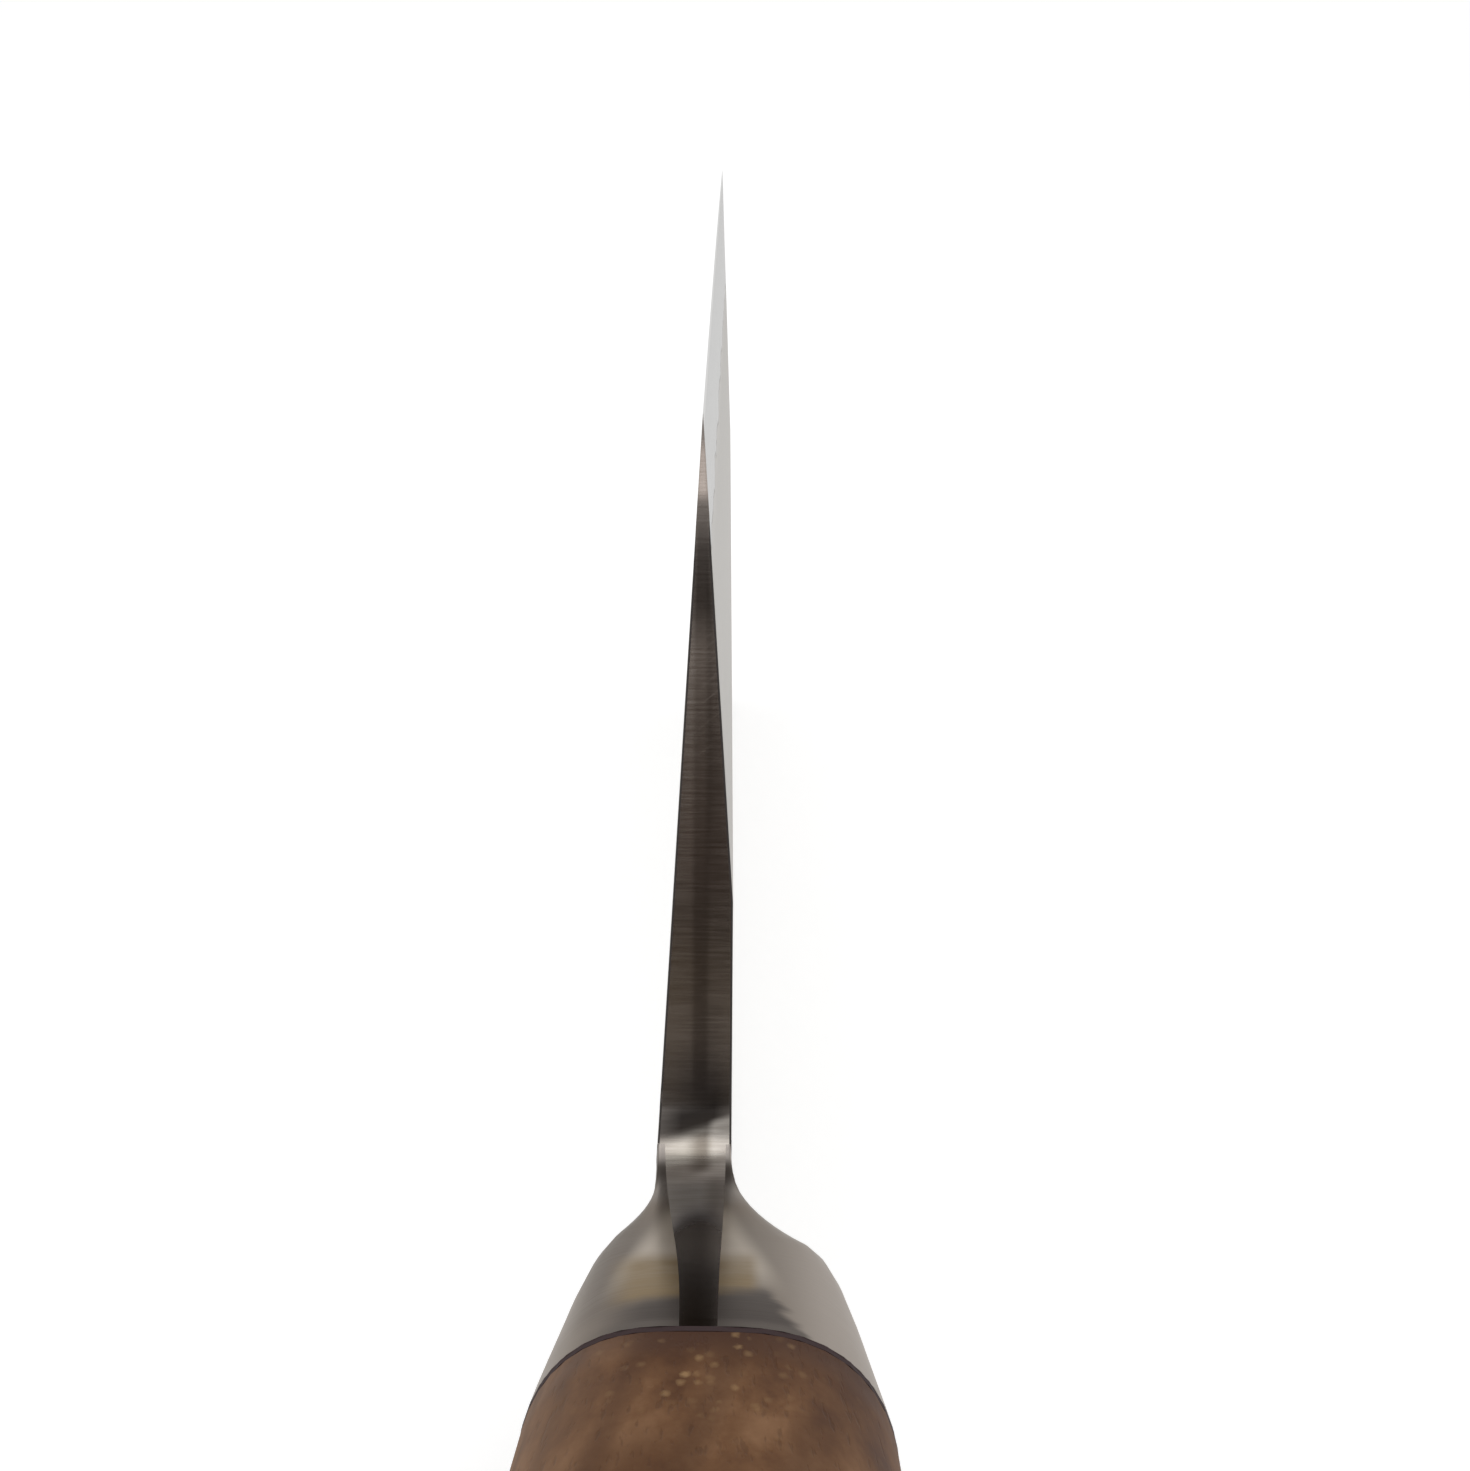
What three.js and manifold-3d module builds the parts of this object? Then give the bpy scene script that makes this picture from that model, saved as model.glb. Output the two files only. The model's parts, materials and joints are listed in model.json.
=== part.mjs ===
// A nakiri: a laminated vegetable knife with a flared two-cheek bolster and a hidden tang in a wooden handle.
// Millimetres. X is across the blade, Y runs from the handle to the tip, Z rises from the spine to the edge.
// The origin is on the spine, at the heel of the blade.
import * as THREE from "three";
import { mergeVertices } from "three/addons/utils/BufferGeometryUtils.js";
import Module from "manifold-3d";

// Blade outline
const BLADE_LENGTH = 165;
const HEEL_HEIGHT = 54;
const EDGE_DROP = 1.6;
const EDGE_EASE = 2.5;
const NECK_HEIGHT = 13.5;
const NECK_LENGTH = 1;
const CHOIL_RADIUS = 4;
const TIP_RADIUS = 3;
const TIP_CLEAR = 0.2;
const FRONT_RAKE = 4;
const FRONT_CORNER_RADIUS = 13;

// Blade section: half thicknesses either side of the middle plane, and the height of each bevel
const CORE_THICKNESS = 0.7;
const LEFT_HEEL = 2.3;
const LEFT_TIP = 1.2;
const LEFT_BEVEL = 40;
const RIGHT_HEEL = 1.7;
const RIGHT_TIP = 0.95;
const RIGHT_BEVEL = 26;

// Tang
const LEFT_TANG_STEP = 0.45;
const LEFT_TANG = 0.55;
const RIGHT_TANG_STEP = 0.3;
const RIGHT_TANG = 1.15;
const TANG_LENGTH = 84;
const TANG_HEIGHT = 9;
const TANG_END_HEIGHT = 5;
const TANG_EASE = 1.6;

// Bolster: each cheek runs on with the blade, sweeps out through a hollow, turns and fills out to the handle
const BOLSTER_LENGTH = 29.6;
const BOLSTER_HEIGHT = 18;
const BELLY_LIFT = 0.8;
const LEFT_RUN = 2.8;
const LEFT_TURN = 4.63;
const LEFT_TURN_BACK = 9.6;
const LEFT_TURN_SLOPE = 0.43;
const LEFT_HOLLOW = 5.1;
const LEFT_FULLNESS = 4.6;
const LEFT_FLARE = 7.93;
const RIGHT_RUN = 1.95;
const RIGHT_TURN = 6.7;
const RIGHT_TURN_BACK = 11.6;
const RIGHT_TURN_SLOPE = 0.76;
const RIGHT_HOLLOW = 4.9;
const RIGHT_FULLNESS = 2.15;
const RIGHT_FLARE = 9.46;
const BRAZE_GAP = 0.05;
const PIN_DIAMETER = 3;
const PIN_REACH = 2;
const PIN_CLEARANCE = 0.1;
const FRONT_PIN_BACK = 13;
const PIN_SPACING = 9;

// Spacer and handle
const SPACER_THICKNESS = 0.5;
const SLOT_CLEARANCE = 0.3;
const HANDLE_LENGTH = 118;
const PALM_HEIGHT = 24.5;
const PALM_HALF_WIDTH = 10.6;
const PALM_BACK = 56;
const WAIST_HEIGHT = 23.5;
const WAIST_HALF_WIDTH = 10.2;
const WAIST_BACK = 88;
const BUTT_HEIGHT = 25.5;
const BUTT_HALF_WIDTH = 10.9;
const BUTT_ROUND = 5;
const BORE_ROOM = 1.2;
const BOND_GAP = 0.15;

// Section roundness: 2 is an ellipse, larger is squarer
const NECK_SQUARENESS = 12;
const HANDLE_SQUARENESS = 2.6;
const SQUARENESS_EASE = 3;

// Facets
const QUARTER_STEPS = 9;
const CHEEK_STEPS = 12;
const HANDLE_STEPS = 30;
const BUTT_STEPS = 5;
const EDGE_STEPS = 12;
const TANG_STEPS = 14;
const CURVE_STEPS = 12;
const PIN_SIDES = 20;
const HALVINGS = 40;
const WELD = 1e-5;

// Places that follow from the sizes
const CORE_HALF = CORE_THICKNESS / 2;
const TANG_HALF = (LEFT_TANG + RIGHT_TANG) / 2;
const TANG_X = (RIGHT_TANG - LEFT_TANG) / 2;
const SHOULDER_Y = -NECK_LENGTH;
const JUNCTION_Y = SHOULDER_Y - BOLSTER_LENGTH;
const HANDLE_Y = JUNCTION_Y - SPACER_THICKNESS;
const BUTT_Y = HANDLE_Y - HANDLE_LENGTH;
const TANG_END_Y = JUNCTION_Y - TANG_LENGTH;
const TANG_MIDDLE = BOLSTER_HEIGHT / 2;
const OVERCUT = 3;

const LEFT = {
  sign: -1,
  heel: LEFT_HEEL,
  tip: LEFT_TIP,
  bevel: LEFT_BEVEL,
  tang: LEFT_TANG,
  tangStep: LEFT_TANG_STEP,
  run: LEFT_RUN,
  turn: LEFT_TURN,
  turnBack: LEFT_TURN_BACK,
  turnSlope: LEFT_TURN_SLOPE,
  hollow: LEFT_HOLLOW,
  fullness: LEFT_FULLNESS,
  flare: LEFT_FLARE,
};
const RIGHT = {
  sign: 1,
  heel: RIGHT_HEEL,
  tip: RIGHT_TIP,
  bevel: RIGHT_BEVEL,
  tang: RIGHT_TANG,
  tangStep: RIGHT_TANG_STEP,
  run: RIGHT_RUN,
  turn: RIGHT_TURN,
  turnBack: RIGHT_TURN_BACK,
  turnSlope: RIGHT_TURN_SLOPE,
  hollow: RIGHT_HOLLOW,
  fullness: RIGHT_FULLNESS,
  flare: RIGHT_FLARE,
};

const wasm = await Module();
wasm.setup();

// Turns a closed geometry into a solid for cutting and joining.
function solidOf(geometry) {
  const bare = new THREE.BufferGeometry();
  bare.setAttribute("position", geometry.getAttribute("position"));
  bare.setIndex(geometry.index);
  const merged = mergeVertices(bare, WELD);
  const vertProperties = merged.getAttribute("position").array;
  const triVerts = new Uint32Array(merged.index.array);
  return new wasm.Manifold(new wasm.Mesh({ numProp: 3, vertProperties, triVerts }));
}

// Turns a solid back into a geometry.
function geometryOf(solid) {
  const made = solid.getMesh();
  const geometry = new THREE.BufferGeometry();
  geometry.setAttribute("position", new THREE.BufferAttribute(made.vertProperties, 3));
  geometry.setIndex(new THREE.BufferAttribute(made.triVerts, 1));
  geometry.computeVertexNormals();
  return geometry;
}

// Skins a row of convex rings, all with the same number of points, and closes both ends.
function loft(rings) {
  const count = rings[0].length;
  const points = rings.flat();
  const index = [];
  for (let r = 0; r + 1 < rings.length; r++) {
    for (let i = 0; i < count; i++) {
      const a = r * count + i;
      const b = r * count + ((i + 1) % count);
      index.push(a, b, a + count, b, b + count, a + count);
    }
  }
  const last = points.length - count;
  for (let i = 1; i + 1 < count; i++) {
    index.push(0, i + 1, i);
    index.push(last, last + i, last + i + 1);
  }
  const geometry = new THREE.BufferGeometry().setFromPoints(points);
  return geometry.setIndex(index);
}

// Extrudes an outline drawn in Y and Z along X, centred on the middle plane.
function extrudeAcross(shape, width) {
  const geometry = new THREE.ExtrudeGeometry(shape, {
    depth: width,
    bevelEnabled: false,
    curveSegments: CURVE_STEPS,
  });
  geometry.translate(0, 0, -width / 2);
  const basis = new THREE.Matrix4().makeBasis(
    new THREE.Vector3(0, 1, 0),
    new THREE.Vector3(0, 0, 1),
    new THREE.Vector3(1, 0, 0),
  );
  return geometry.applyMatrix4(basis);
}

// A row of evenly spaced values from start to end.
function steps(start, end, count) {
  return Array.from({ length: count + 1 }, (_, i) => THREE.MathUtils.lerp(start, end, i / count));
}

// Height of the cutting edge along the blade: nearly straight, easing down to the tip.
function edgeHeight(y) {
  const along = Math.max(y, 0) / BLADE_LENGTH;
  return HEEL_HEIGHT - EDGE_DROP * along ** EDGE_EASE;
}

// Half thickness of one face's flat, which thins from heel to tip.
function flatHalf(side, y) {
  return THREE.MathUtils.lerp(side.heel, side.tip, Math.max(y, 0) / BLADE_LENGTH);
}

// Half thickness of the tang inside the bolster, waisting from the neck to the handle.
function tangHalf(side, y) {
  const along = THREE.MathUtils.clamp((SHOULDER_Y - y) / BOLSTER_LENGTH, 0, 1);
  const neck = side.heel - side.tangStep;
  return side.tang + (neck - side.tang) * (1 - along) ** TANG_EASE;
}

// Underside of neck and bolster, rising from the choil to the handle.
const bellyLine = new THREE.CubicBezierCurve(
  new THREE.Vector2(-CHOIL_RADIUS, NECK_HEIGHT),
  new THREE.Vector2(SHOULDER_Y - BOLSTER_LENGTH / 3, NECK_HEIGHT),
  new THREE.Vector2(JUNCTION_Y + BOLSTER_LENGTH / 3, BOLSTER_HEIGHT - BELLY_LIFT),
  new THREE.Vector2(JUNCTION_Y, BOLSTER_HEIGHT),
);

// Height of a curve at one place along Y, for a curve that runs from the front to the back.
function heightAt(curve, y) {
  let front = 0;
  let back = 1;
  for (let i = 0; i < HALVINGS; i++) {
    const middle = (front + back) / 2;
    if (curve.getPoint(middle).x < y) back = middle;
    else front = middle;
  }
  return curve.getPoint(front).y;
}

// Height of the underside at one place, on the round of the choil or behind it.
function bellyHeight(y) {
  const overRound = Math.max(y + CHOIL_RADIUS, 0);
  if (overRound === 0) return heightAt(bellyLine, y);
  return NECK_HEIGHT + CHOIL_RADIUS - Math.sqrt(CHOIL_RADIUS ** 2 - overRound ** 2);
}

// The outline of blade, neck and tang, left open above the cutting edge, which the bevels make.
function bladeOutline() {
  const above = HEEL_HEIGHT + OVERCUT;
  const tip = new THREE.Vector2(BLADE_LENGTH, edgeHeight(BLADE_LENGTH));
  const foot = new THREE.Vector2(BLADE_LENGTH - FRONT_RAKE, 0);
  const rake = tip.clone().sub(foot).normalize();
  const overFoot = foot.clone().addScaledVector(rake, FRONT_CORNER_RADIUS);
  const underTip = tip.clone().addScaledVector(rake, -TIP_RADIUS);
  const behindTip = new THREE.Vector2(BLADE_LENGTH - TIP_RADIUS, tip.y + TIP_CLEAR);
  const endRound = TANG_END_HEIGHT / 2;
  const outline = new THREE.Shape();
  outline.moveTo(JUNCTION_Y, 0);
  outline.lineTo(foot.x - FRONT_CORNER_RADIUS, 0);
  outline.quadraticCurveTo(foot.x, foot.y, overFoot.x, overFoot.y);
  outline.lineTo(underTip.x, underTip.y);
  outline.quadraticCurveTo(tip.x, tip.y, behindTip.x, behindTip.y);
  outline.lineTo(behindTip.x, above);
  outline.lineTo(0, above);
  outline.lineTo(0, NECK_HEIGHT + CHOIL_RADIUS);
  outline.absarc(-CHOIL_RADIUS, NECK_HEIGHT + CHOIL_RADIUS, CHOIL_RADIUS, 0, -Math.PI / 2, true);
  bellyLine.getPoints(2 * CHEEK_STEPS).forEach((p) => outline.lineTo(p.x, p.y));
  outline.lineTo(JUNCTION_Y, TANG_MIDDLE + TANG_HEIGHT / 2);
  outline.lineTo(TANG_END_Y + endRound, TANG_MIDDLE + endRound);
  outline.absarc(TANG_END_Y + endRound, TANG_MIDDLE, endRound, Math.PI / 2, (3 * Math.PI) / 2, false);
  outline.lineTo(JUNCTION_Y, TANG_MIDDLE - TANG_HEIGHT / 2);
  outline.closePath();
  return outline;
}

// Rings of the hard core between its two bevels.
function coreRings() {
  const ring = (y) => {
    const top = edgeHeight(y);
    const meet = (side) => top - (side.bevel * CORE_HALF) / flatHalf(side, y);
    return [
      new THREE.Vector3(0, y, top),
      new THREE.Vector3(-CORE_HALF, y, meet(LEFT)),
      new THREE.Vector3(-CORE_HALF, y, -OVERCUT),
      new THREE.Vector3(CORE_HALF, y, -OVERCUT),
      new THREE.Vector3(CORE_HALF, y, meet(RIGHT)),
    ];
  };
  return [SHOULDER_Y, ...steps(0, BLADE_LENGTH + OVERCUT, EDGE_STEPS)].map(ring);
}

// Rings of one cladding: a wedge that feathers out where the bevel reaches the core.
function claddingRings(side) {
  const ring = (y) => {
    const top = edgeHeight(y);
    const half = flatHalf(side, y);
    return [
      new THREE.Vector3(side.sign * CORE_HALF, y, top - (side.bevel * CORE_HALF) / half),
      new THREE.Vector3(side.sign * half, y, top - side.bevel),
      new THREE.Vector3(side.sign * half, y, -OVERCUT),
      new THREE.Vector3(side.sign * CORE_HALF, y, -OVERCUT),
    ];
  };
  return [SHOULDER_Y, ...steps(0, BLADE_LENGTH + OVERCUT, EDGE_STEPS)].map(ring);
}

// Rings of one layer of the tang, from x = from(y) to x = to(y).
function tangRings(from, to) {
  const top = BOLSTER_HEIGHT + OVERCUT;
  const places = [...steps(SHOULDER_Y, JUNCTION_Y, TANG_STEPS), TANG_END_Y - OVERCUT];
  return places.map((y) => [
    new THREE.Vector3(from(y), y, -OVERCUT),
    new THREE.Vector3(to(y), y, -OVERCUT),
    new THREE.Vector3(to(y), y, top),
    new THREE.Vector3(from(y), y, top),
  ]);
}

// A solid from rings, whichever way round they run.
function loftSolid(rings) {
  const geometry = loft(rings);
  const solid = solidOf(geometry);
  if (solid.volume() > 0) return solid;
  geometry.index.array.reverse();
  return solidOf(geometry);
}

const outlineSolid = solidOf(extrudeAcross(bladeOutline(), 2 * (LEFT_HEEL + RIGHT_HEEL)));

// One layer of the blade with its stretch of tang, cut to the outline and bored for the pins.
function bladeLayer(wedge, tang) {
  const blank = loftSolid(wedge).add(loftSolid(tang));
  return blank.intersect(outlineSolid).subtract(pinHoles());
}

// Places of the two pins along the bolster.
function pinPlaces() {
  const front = SHOULDER_Y - FRONT_PIN_BACK;
  return [front, front - PIN_SPACING];
}

// A round bar across the blade at one place along the bolster.
function crossBar(y, diameter, from, to) {
  const bar = new THREE.CylinderGeometry(diameter / 2, diameter / 2, to - from, PIN_SIDES);
  bar.rotateZ(-Math.PI / 2);
  bar.translate((from + to) / 2, y, bellyHeight(y) / 2);
  return bar;
}

// Where a pin ends inside one cheek.
function pinEnd(side, y) {
  return side.sign * (tangHalf(side, y) + BRAZE_GAP + PIN_REACH);
}

// The blind holes for both pins, through the tang and into the cheeks.
function pinHoles() {
  const bores = pinPlaces().map((y) => {
    const from = pinEnd(LEFT, y) - PIN_CLEARANCE;
    const to = pinEnd(RIGHT, y) + PIN_CLEARANCE;
    return solidOf(crossBar(y, PIN_DIAMETER + 2 * PIN_CLEARANCE, from, to));
  });
  return bores[0].add(bores[1]);
}

// One quarter of a rounded section: from the middle of its top or bottom out to its side.
function quarter(reach, rise, squareness) {
  const power = 2 / squareness;
  return steps(0, Math.PI / 2, QUARTER_STEPS).map((angle) => {
    const out = reach * Math.max(Math.sin(angle), 0) ** power;
    const up = rise * Math.max(Math.cos(angle), 0) ** power;
    return new THREE.Vector2(out, up);
  });
}

// The half of a section on one side of the tang, from its top down to its bottom.
function halfSection(side, y, inner, outer, height, squareness) {
  const upper = quarter(outer - inner, height / 2, squareness);
  const lower = upper.slice(0, -1).reverse();
  const place = (p, sign) => new THREE.Vector3(side.sign * (inner + p.x), y, height / 2 + sign * p.y);
  return [...upper.map((p) => place(p, 1)), ...lower.map((p) => place(p, -1))];
}

// Plan of one cheek's outer face: it leaves the blade in a hollow, turns and fills out to the handle without a break.
function flankPoints(side) {
  const turn = new THREE.Vector2(SHOULDER_Y - side.turnBack, side.turn);
  const heading = new THREE.Vector2(-1, side.turnSlope).normalize();
  const hollow = new THREE.CubicBezierCurve(
    new THREE.Vector2(SHOULDER_Y, side.heel),
    new THREE.Vector2(SHOULDER_Y - side.run, side.heel),
    turn.clone().addScaledVector(heading, -side.hollow),
    turn,
  );
  const full = new THREE.QuadraticBezierCurve(
    turn,
    turn.clone().addScaledVector(heading, side.fullness),
    new THREE.Vector2(JUNCTION_Y, side.flare),
  );
  return [...hollow.getPoints(CHEEK_STEPS), ...full.getPoints(CHEEK_STEPS).slice(1)];
}

// One cheek: its section is nearly square at the neck and softens to the rounded section of the handle.
function bolsterCheek(side) {
  const rings = flankPoints(side).map((place) => {
    const along = (SHOULDER_Y - place.x) / BOLSTER_LENGTH;
    const squareness = THREE.MathUtils.lerp(HANDLE_SQUARENESS, NECK_SQUARENESS, (1 - along) ** SQUARENESS_EASE);
    const inner = tangHalf(side, place.x) + BRAZE_GAP;
    return halfSection(side, place.x, inner, place.y, bellyHeight(place.x), squareness);
  });
  return loftSolid(rings).subtract(pinHoles());
}

// A full section of the handle: both halves round a narrow flat that carries on from the tang, drawn in by an inset.
function handleRing(y, left, right, height, inset) {
  const rise = height - 2 * inset;
  const rightHalf = halfSection(RIGHT, y, RIGHT_TANG, right - inset, rise, HANDLE_SQUARENESS);
  const leftHalf = halfSection(LEFT, y, LEFT_TANG, left - inset, rise, HANDLE_SQUARENESS);
  const ring = [...rightHalf, ...leftHalf.reverse()];
  return ring.map((p) => p.setZ(inset + p.z));
}

// Profile of the handle along its length: front, palm swell, waist and butt.
function handleProfile(front, palm, waist, butt) {
  return new THREE.SplineCurve([
    new THREE.Vector2(HANDLE_Y, front),
    new THREE.Vector2(HANDLE_Y - PALM_BACK / 2, (front + palm) / 2),
    new THREE.Vector2(HANDLE_Y - PALM_BACK, palm),
    new THREE.Vector2(HANDLE_Y - WAIST_BACK, waist),
    new THREE.Vector2(BUTT_Y, butt),
  ]);
}

// The wooden handle with its rounded butt and the blind slot for the tang.
function handle() {
  const left = handleProfile(LEFT_FLARE, PALM_HALF_WIDTH, WAIST_HALF_WIDTH, BUTT_HALF_WIDTH);
  const right = handleProfile(RIGHT_FLARE, PALM_HALF_WIDTH, WAIST_HALF_WIDTH, BUTT_HALF_WIDTH);
  const height = handleProfile(BOLSTER_HEIGHT, PALM_HEIGHT, WAIST_HEIGHT, BUTT_HEIGHT);
  const ring = (y, inset) => handleRing(y, heightAt(left, y), heightAt(right, y), heightAt(height, y), inset);
  const body = steps(HANDLE_Y, BUTT_Y + BUTT_ROUND, HANDLE_STEPS).map((y) => ring(y, 0));
  const round = steps(0, Math.PI / 2, BUTT_STEPS).slice(1).map((angle) => {
    const y = BUTT_Y + BUTT_ROUND * (1 - Math.sin(angle));
    return ring(y, BUTT_ROUND * (1 - Math.cos(angle)));
  });
  return loftSolid([...body, ...round]).subtract(boreSolid(BORE_ROOM, OVERCUT));
}

// A slot with round ends along the tang: room is what it leaves round the tang, lead is how far ahead of the wood it
// starts.
function boreSolid(room, lead) {
  const halfWidth = TANG_HALF + room;
  const halfHeight = TANG_HEIGHT / 2 + room;
  const slot = new THREE.Shape();
  slot.absarc(TANG_X, TANG_MIDDLE + halfHeight - halfWidth, halfWidth, 0, Math.PI, false);
  slot.absarc(TANG_X, TANG_MIDDLE - halfHeight + halfWidth, halfWidth, Math.PI, 2 * Math.PI, false);
  slot.closePath();
  const start = HANDLE_Y + lead;
  const depth = start - (TANG_END_Y - room);
  const geometry = new THREE.ExtrudeGeometry(slot, { depth, bevelEnabled: false, curveSegments: CURVE_STEPS });
  geometry.rotateX(Math.PI / 2);
  geometry.translate(0, start, 0);
  return solidOf(geometry);
}

// The thin plate between bolster and wood, slotted for the tang.
function spacer() {
  const ring = (y) => handleRing(y, LEFT_FLARE, RIGHT_FLARE, BOLSTER_HEIGHT, 0);
  const plate = loftSolid([ring(JUNCTION_Y), ring(HANDLE_Y)]);
  return plate.subtract(tangEnvelope(SLOT_CLEARANCE));
}

// The stick tang with a clearance all round.
function tangEnvelope(clearance) {
  const ring = (y, height) => {
    const halfWidth = TANG_HALF + clearance;
    const halfHeight = height / 2 + clearance;
    return [
      new THREE.Vector3(TANG_X + halfWidth, y, TANG_MIDDLE - halfHeight),
      new THREE.Vector3(TANG_X + halfWidth, y, TANG_MIDDLE + halfHeight),
      new THREE.Vector3(TANG_X - halfWidth, y, TANG_MIDDLE + halfHeight),
      new THREE.Vector3(TANG_X - halfWidth, y, TANG_MIDDLE - halfHeight),
    ];
  };
  return loftSolid([
    ring(JUNCTION_Y + OVERCUT, TANG_HEIGHT),
    ring(JUNCTION_Y, TANG_HEIGHT),
    ring(TANG_END_Y - clearance, TANG_END_HEIGHT),
  ]);
}

// The resin that fills the slot round the tang.
function tangBedding() {
  return boreSolid(BORE_ROOM - BOND_GAP, 0).subtract(tangEnvelope(BOND_GAP));
}

const steel = (color, roughness) => new THREE.MeshStandardMaterial({ color, roughness, metalness: 1 });
const coreSteel = steel(0xc9ccce, 0.22);
const claddingSteel = steel(0xb9bab6, 0.35);
const bolsterSteel = steel(0xb3a89a, 0.35);
const pinSteel = steel(0xa8a49c, 0.4);
const fibre = new THREE.MeshStandardMaterial({ color: 0x17121a, roughness: 0.7, metalness: 0 });
const wood = new THREE.MeshStandardMaterial({ color: 0x6e4a31, roughness: 0.55, metalness: 0 });
const resin = new THREE.MeshStandardMaterial({ color: 0xb89a5a, roughness: 0.4, metalness: 0 });

const knife = new THREE.Group();
knife.name = "nakiri";

// Adds one piece of the knife.
function place(name, solid, material) {
  const mesh = new THREE.Mesh(geometryOf(solid), material);
  mesh.name = name;
  knife.add(mesh);
}

const coreTang = tangRings(() => -CORE_HALF, () => CORE_HALF);
place("blade_core", bladeLayer(coreRings(), coreTang), coreSteel);

for (const [word, side] of [["left", LEFT], ["right", RIGHT]]) {
  const inside = () => side.sign * CORE_HALF;
  const outside = (y) => side.sign * tangHalf(side, y);
  place("cladding_" + word, bladeLayer(claddingRings(side), tangRings(inside, outside)), claddingSteel);
  place("bolster_" + word, bolsterCheek(side), bolsterSteel);
}

["front", "rear"].forEach((word, i) => {
  const y = pinPlaces()[i];
  const bar = crossBar(y, PIN_DIAMETER, pinEnd(LEFT, y), pinEnd(RIGHT, y));
  place("bolster_pin_" + word, solidOf(bar), pinSteel);
});

place("spacer", spacer(), fibre);
place("handle", handle(), wood);
place("tang_bedding", tangBedding(), resin);

export default knife;
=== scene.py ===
# %% [markdown]
# # A nakiri knife, dressed for its picture
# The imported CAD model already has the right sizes, so this lesson never measures the knife again. It loads that
# model as a frame, copies or re-skins the pieces that show, and gives each one the finish of the real metal or wood.
# X runs across the blade, Y from the handle to the tip, and Z from the spine up to the cutting edge.

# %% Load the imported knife
import json
import math

import bmesh
import bpy
from mathutils import Matrix, Vector

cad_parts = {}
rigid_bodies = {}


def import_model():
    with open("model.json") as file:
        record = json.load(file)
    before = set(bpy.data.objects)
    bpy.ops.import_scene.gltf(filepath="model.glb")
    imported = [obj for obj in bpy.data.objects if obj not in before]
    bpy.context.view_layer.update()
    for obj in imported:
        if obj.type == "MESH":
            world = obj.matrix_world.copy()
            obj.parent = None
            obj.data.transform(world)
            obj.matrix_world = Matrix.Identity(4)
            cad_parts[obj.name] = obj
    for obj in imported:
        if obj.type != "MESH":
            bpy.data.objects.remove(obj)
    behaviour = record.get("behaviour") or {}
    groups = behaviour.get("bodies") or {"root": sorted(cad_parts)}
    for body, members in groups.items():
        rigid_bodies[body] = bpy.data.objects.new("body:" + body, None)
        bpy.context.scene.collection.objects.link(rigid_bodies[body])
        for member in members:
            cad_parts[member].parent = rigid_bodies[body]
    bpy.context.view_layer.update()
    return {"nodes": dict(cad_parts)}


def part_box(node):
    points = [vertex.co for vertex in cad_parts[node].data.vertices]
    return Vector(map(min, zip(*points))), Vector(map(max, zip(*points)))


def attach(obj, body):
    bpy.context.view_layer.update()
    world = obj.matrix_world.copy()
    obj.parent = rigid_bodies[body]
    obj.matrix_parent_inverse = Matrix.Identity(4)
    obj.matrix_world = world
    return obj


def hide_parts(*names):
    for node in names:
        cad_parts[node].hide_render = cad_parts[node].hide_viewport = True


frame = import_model()
MM = 0.001
print("CAD pieces:", ", ".join(sorted(frame["nodes"])))

# %% [markdown]
# ## Camera
# The picture looks along the knife from behind its handle, a little above the cutting edge. A camera could be nudged
# by eye, but its place was worked out from the known height of the heel and the length of the blade, so the lens and
# the angles below are numbers. The lens comes from the focal length in picture pixels.

# %% Camera
CAMERA_PLACE = Vector((1.83, -165.0, 79.9)) * MM
CAMERA_DOWN = math.radians(14.548)
CAMERA_YAW = math.radians(-0.034)
CAMERA_ROLL = math.radians(0.398)
PICTURE_HEIGHT = 1471
FOCAL_PIXELS = 3290
SENSOR_HEIGHT = 36.0
NEAREST_SEEN = 10 * MM

bpy.ops.object.camera_add()
camera = bpy.context.object
aim = Matrix.Rotation(-CAMERA_YAW, 4, "Z") @ Matrix.Rotation(math.pi / 2 - CAMERA_DOWN, 4, "X")
camera.matrix_world = Matrix.Translation(CAMERA_PLACE) @ aim @ Matrix.Rotation(CAMERA_ROLL, 4, "Z")
camera.data.sensor_fit = "VERTICAL"
camera.data.sensor_height = SENSOR_HEIGHT
camera.data.lens = FOCAL_PIXELS / PICTURE_HEIGHT * SENSOR_HEIGHT
camera.data.clip_start = NEAREST_SEEN
bpy.context.scene.camera = camera
bpy.context.scene.view_settings.view_transform = "Standard"
print(f"lens {camera.data.lens:.1f} mm")

# %% [markdown]
# ## Helpers for nodes and colours
# Colours are written as the sRGB hex values that a picture editor shows, and the shader wants linear light, so one
# function converts them. A second function adds a node, sets it and links it in one line, which keeps each finish
# short enough to read.


# %% Node and colour helpers
def linear(code):
    """A hex colour as linear red, green, blue and alpha."""
    shares = [int(code[i : i + 2], 16) / 255 for i in (1, 3, 5)]
    return [s / 12.92 if s <= 0.04045 else ((s + 0.055) / 1.055) ** 2.4 for s in shares] + [1.0]


def add(tree, kind, inputs=None, stops=(), **settings):
    """Adds a node; an input is a value to set or an output to link, and stops fill a colour ramp."""
    node = tree.nodes.new(kind)
    for name, value in settings.items():
        setattr(node, name, value)
    for socket, value in (inputs or {}).items():
        if isinstance(value, bpy.types.NodeSocket):
            tree.links.new(value, node.inputs[socket])
        else:
            node.inputs[socket].default_value = value
    for number, (place, colour) in enumerate(stops):
        marks = node.color_ramp.elements
        mark = marks[number] if number < 2 else marks.new(place)
        mark.position, mark.color = place, linear(colour)
    return node


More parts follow.
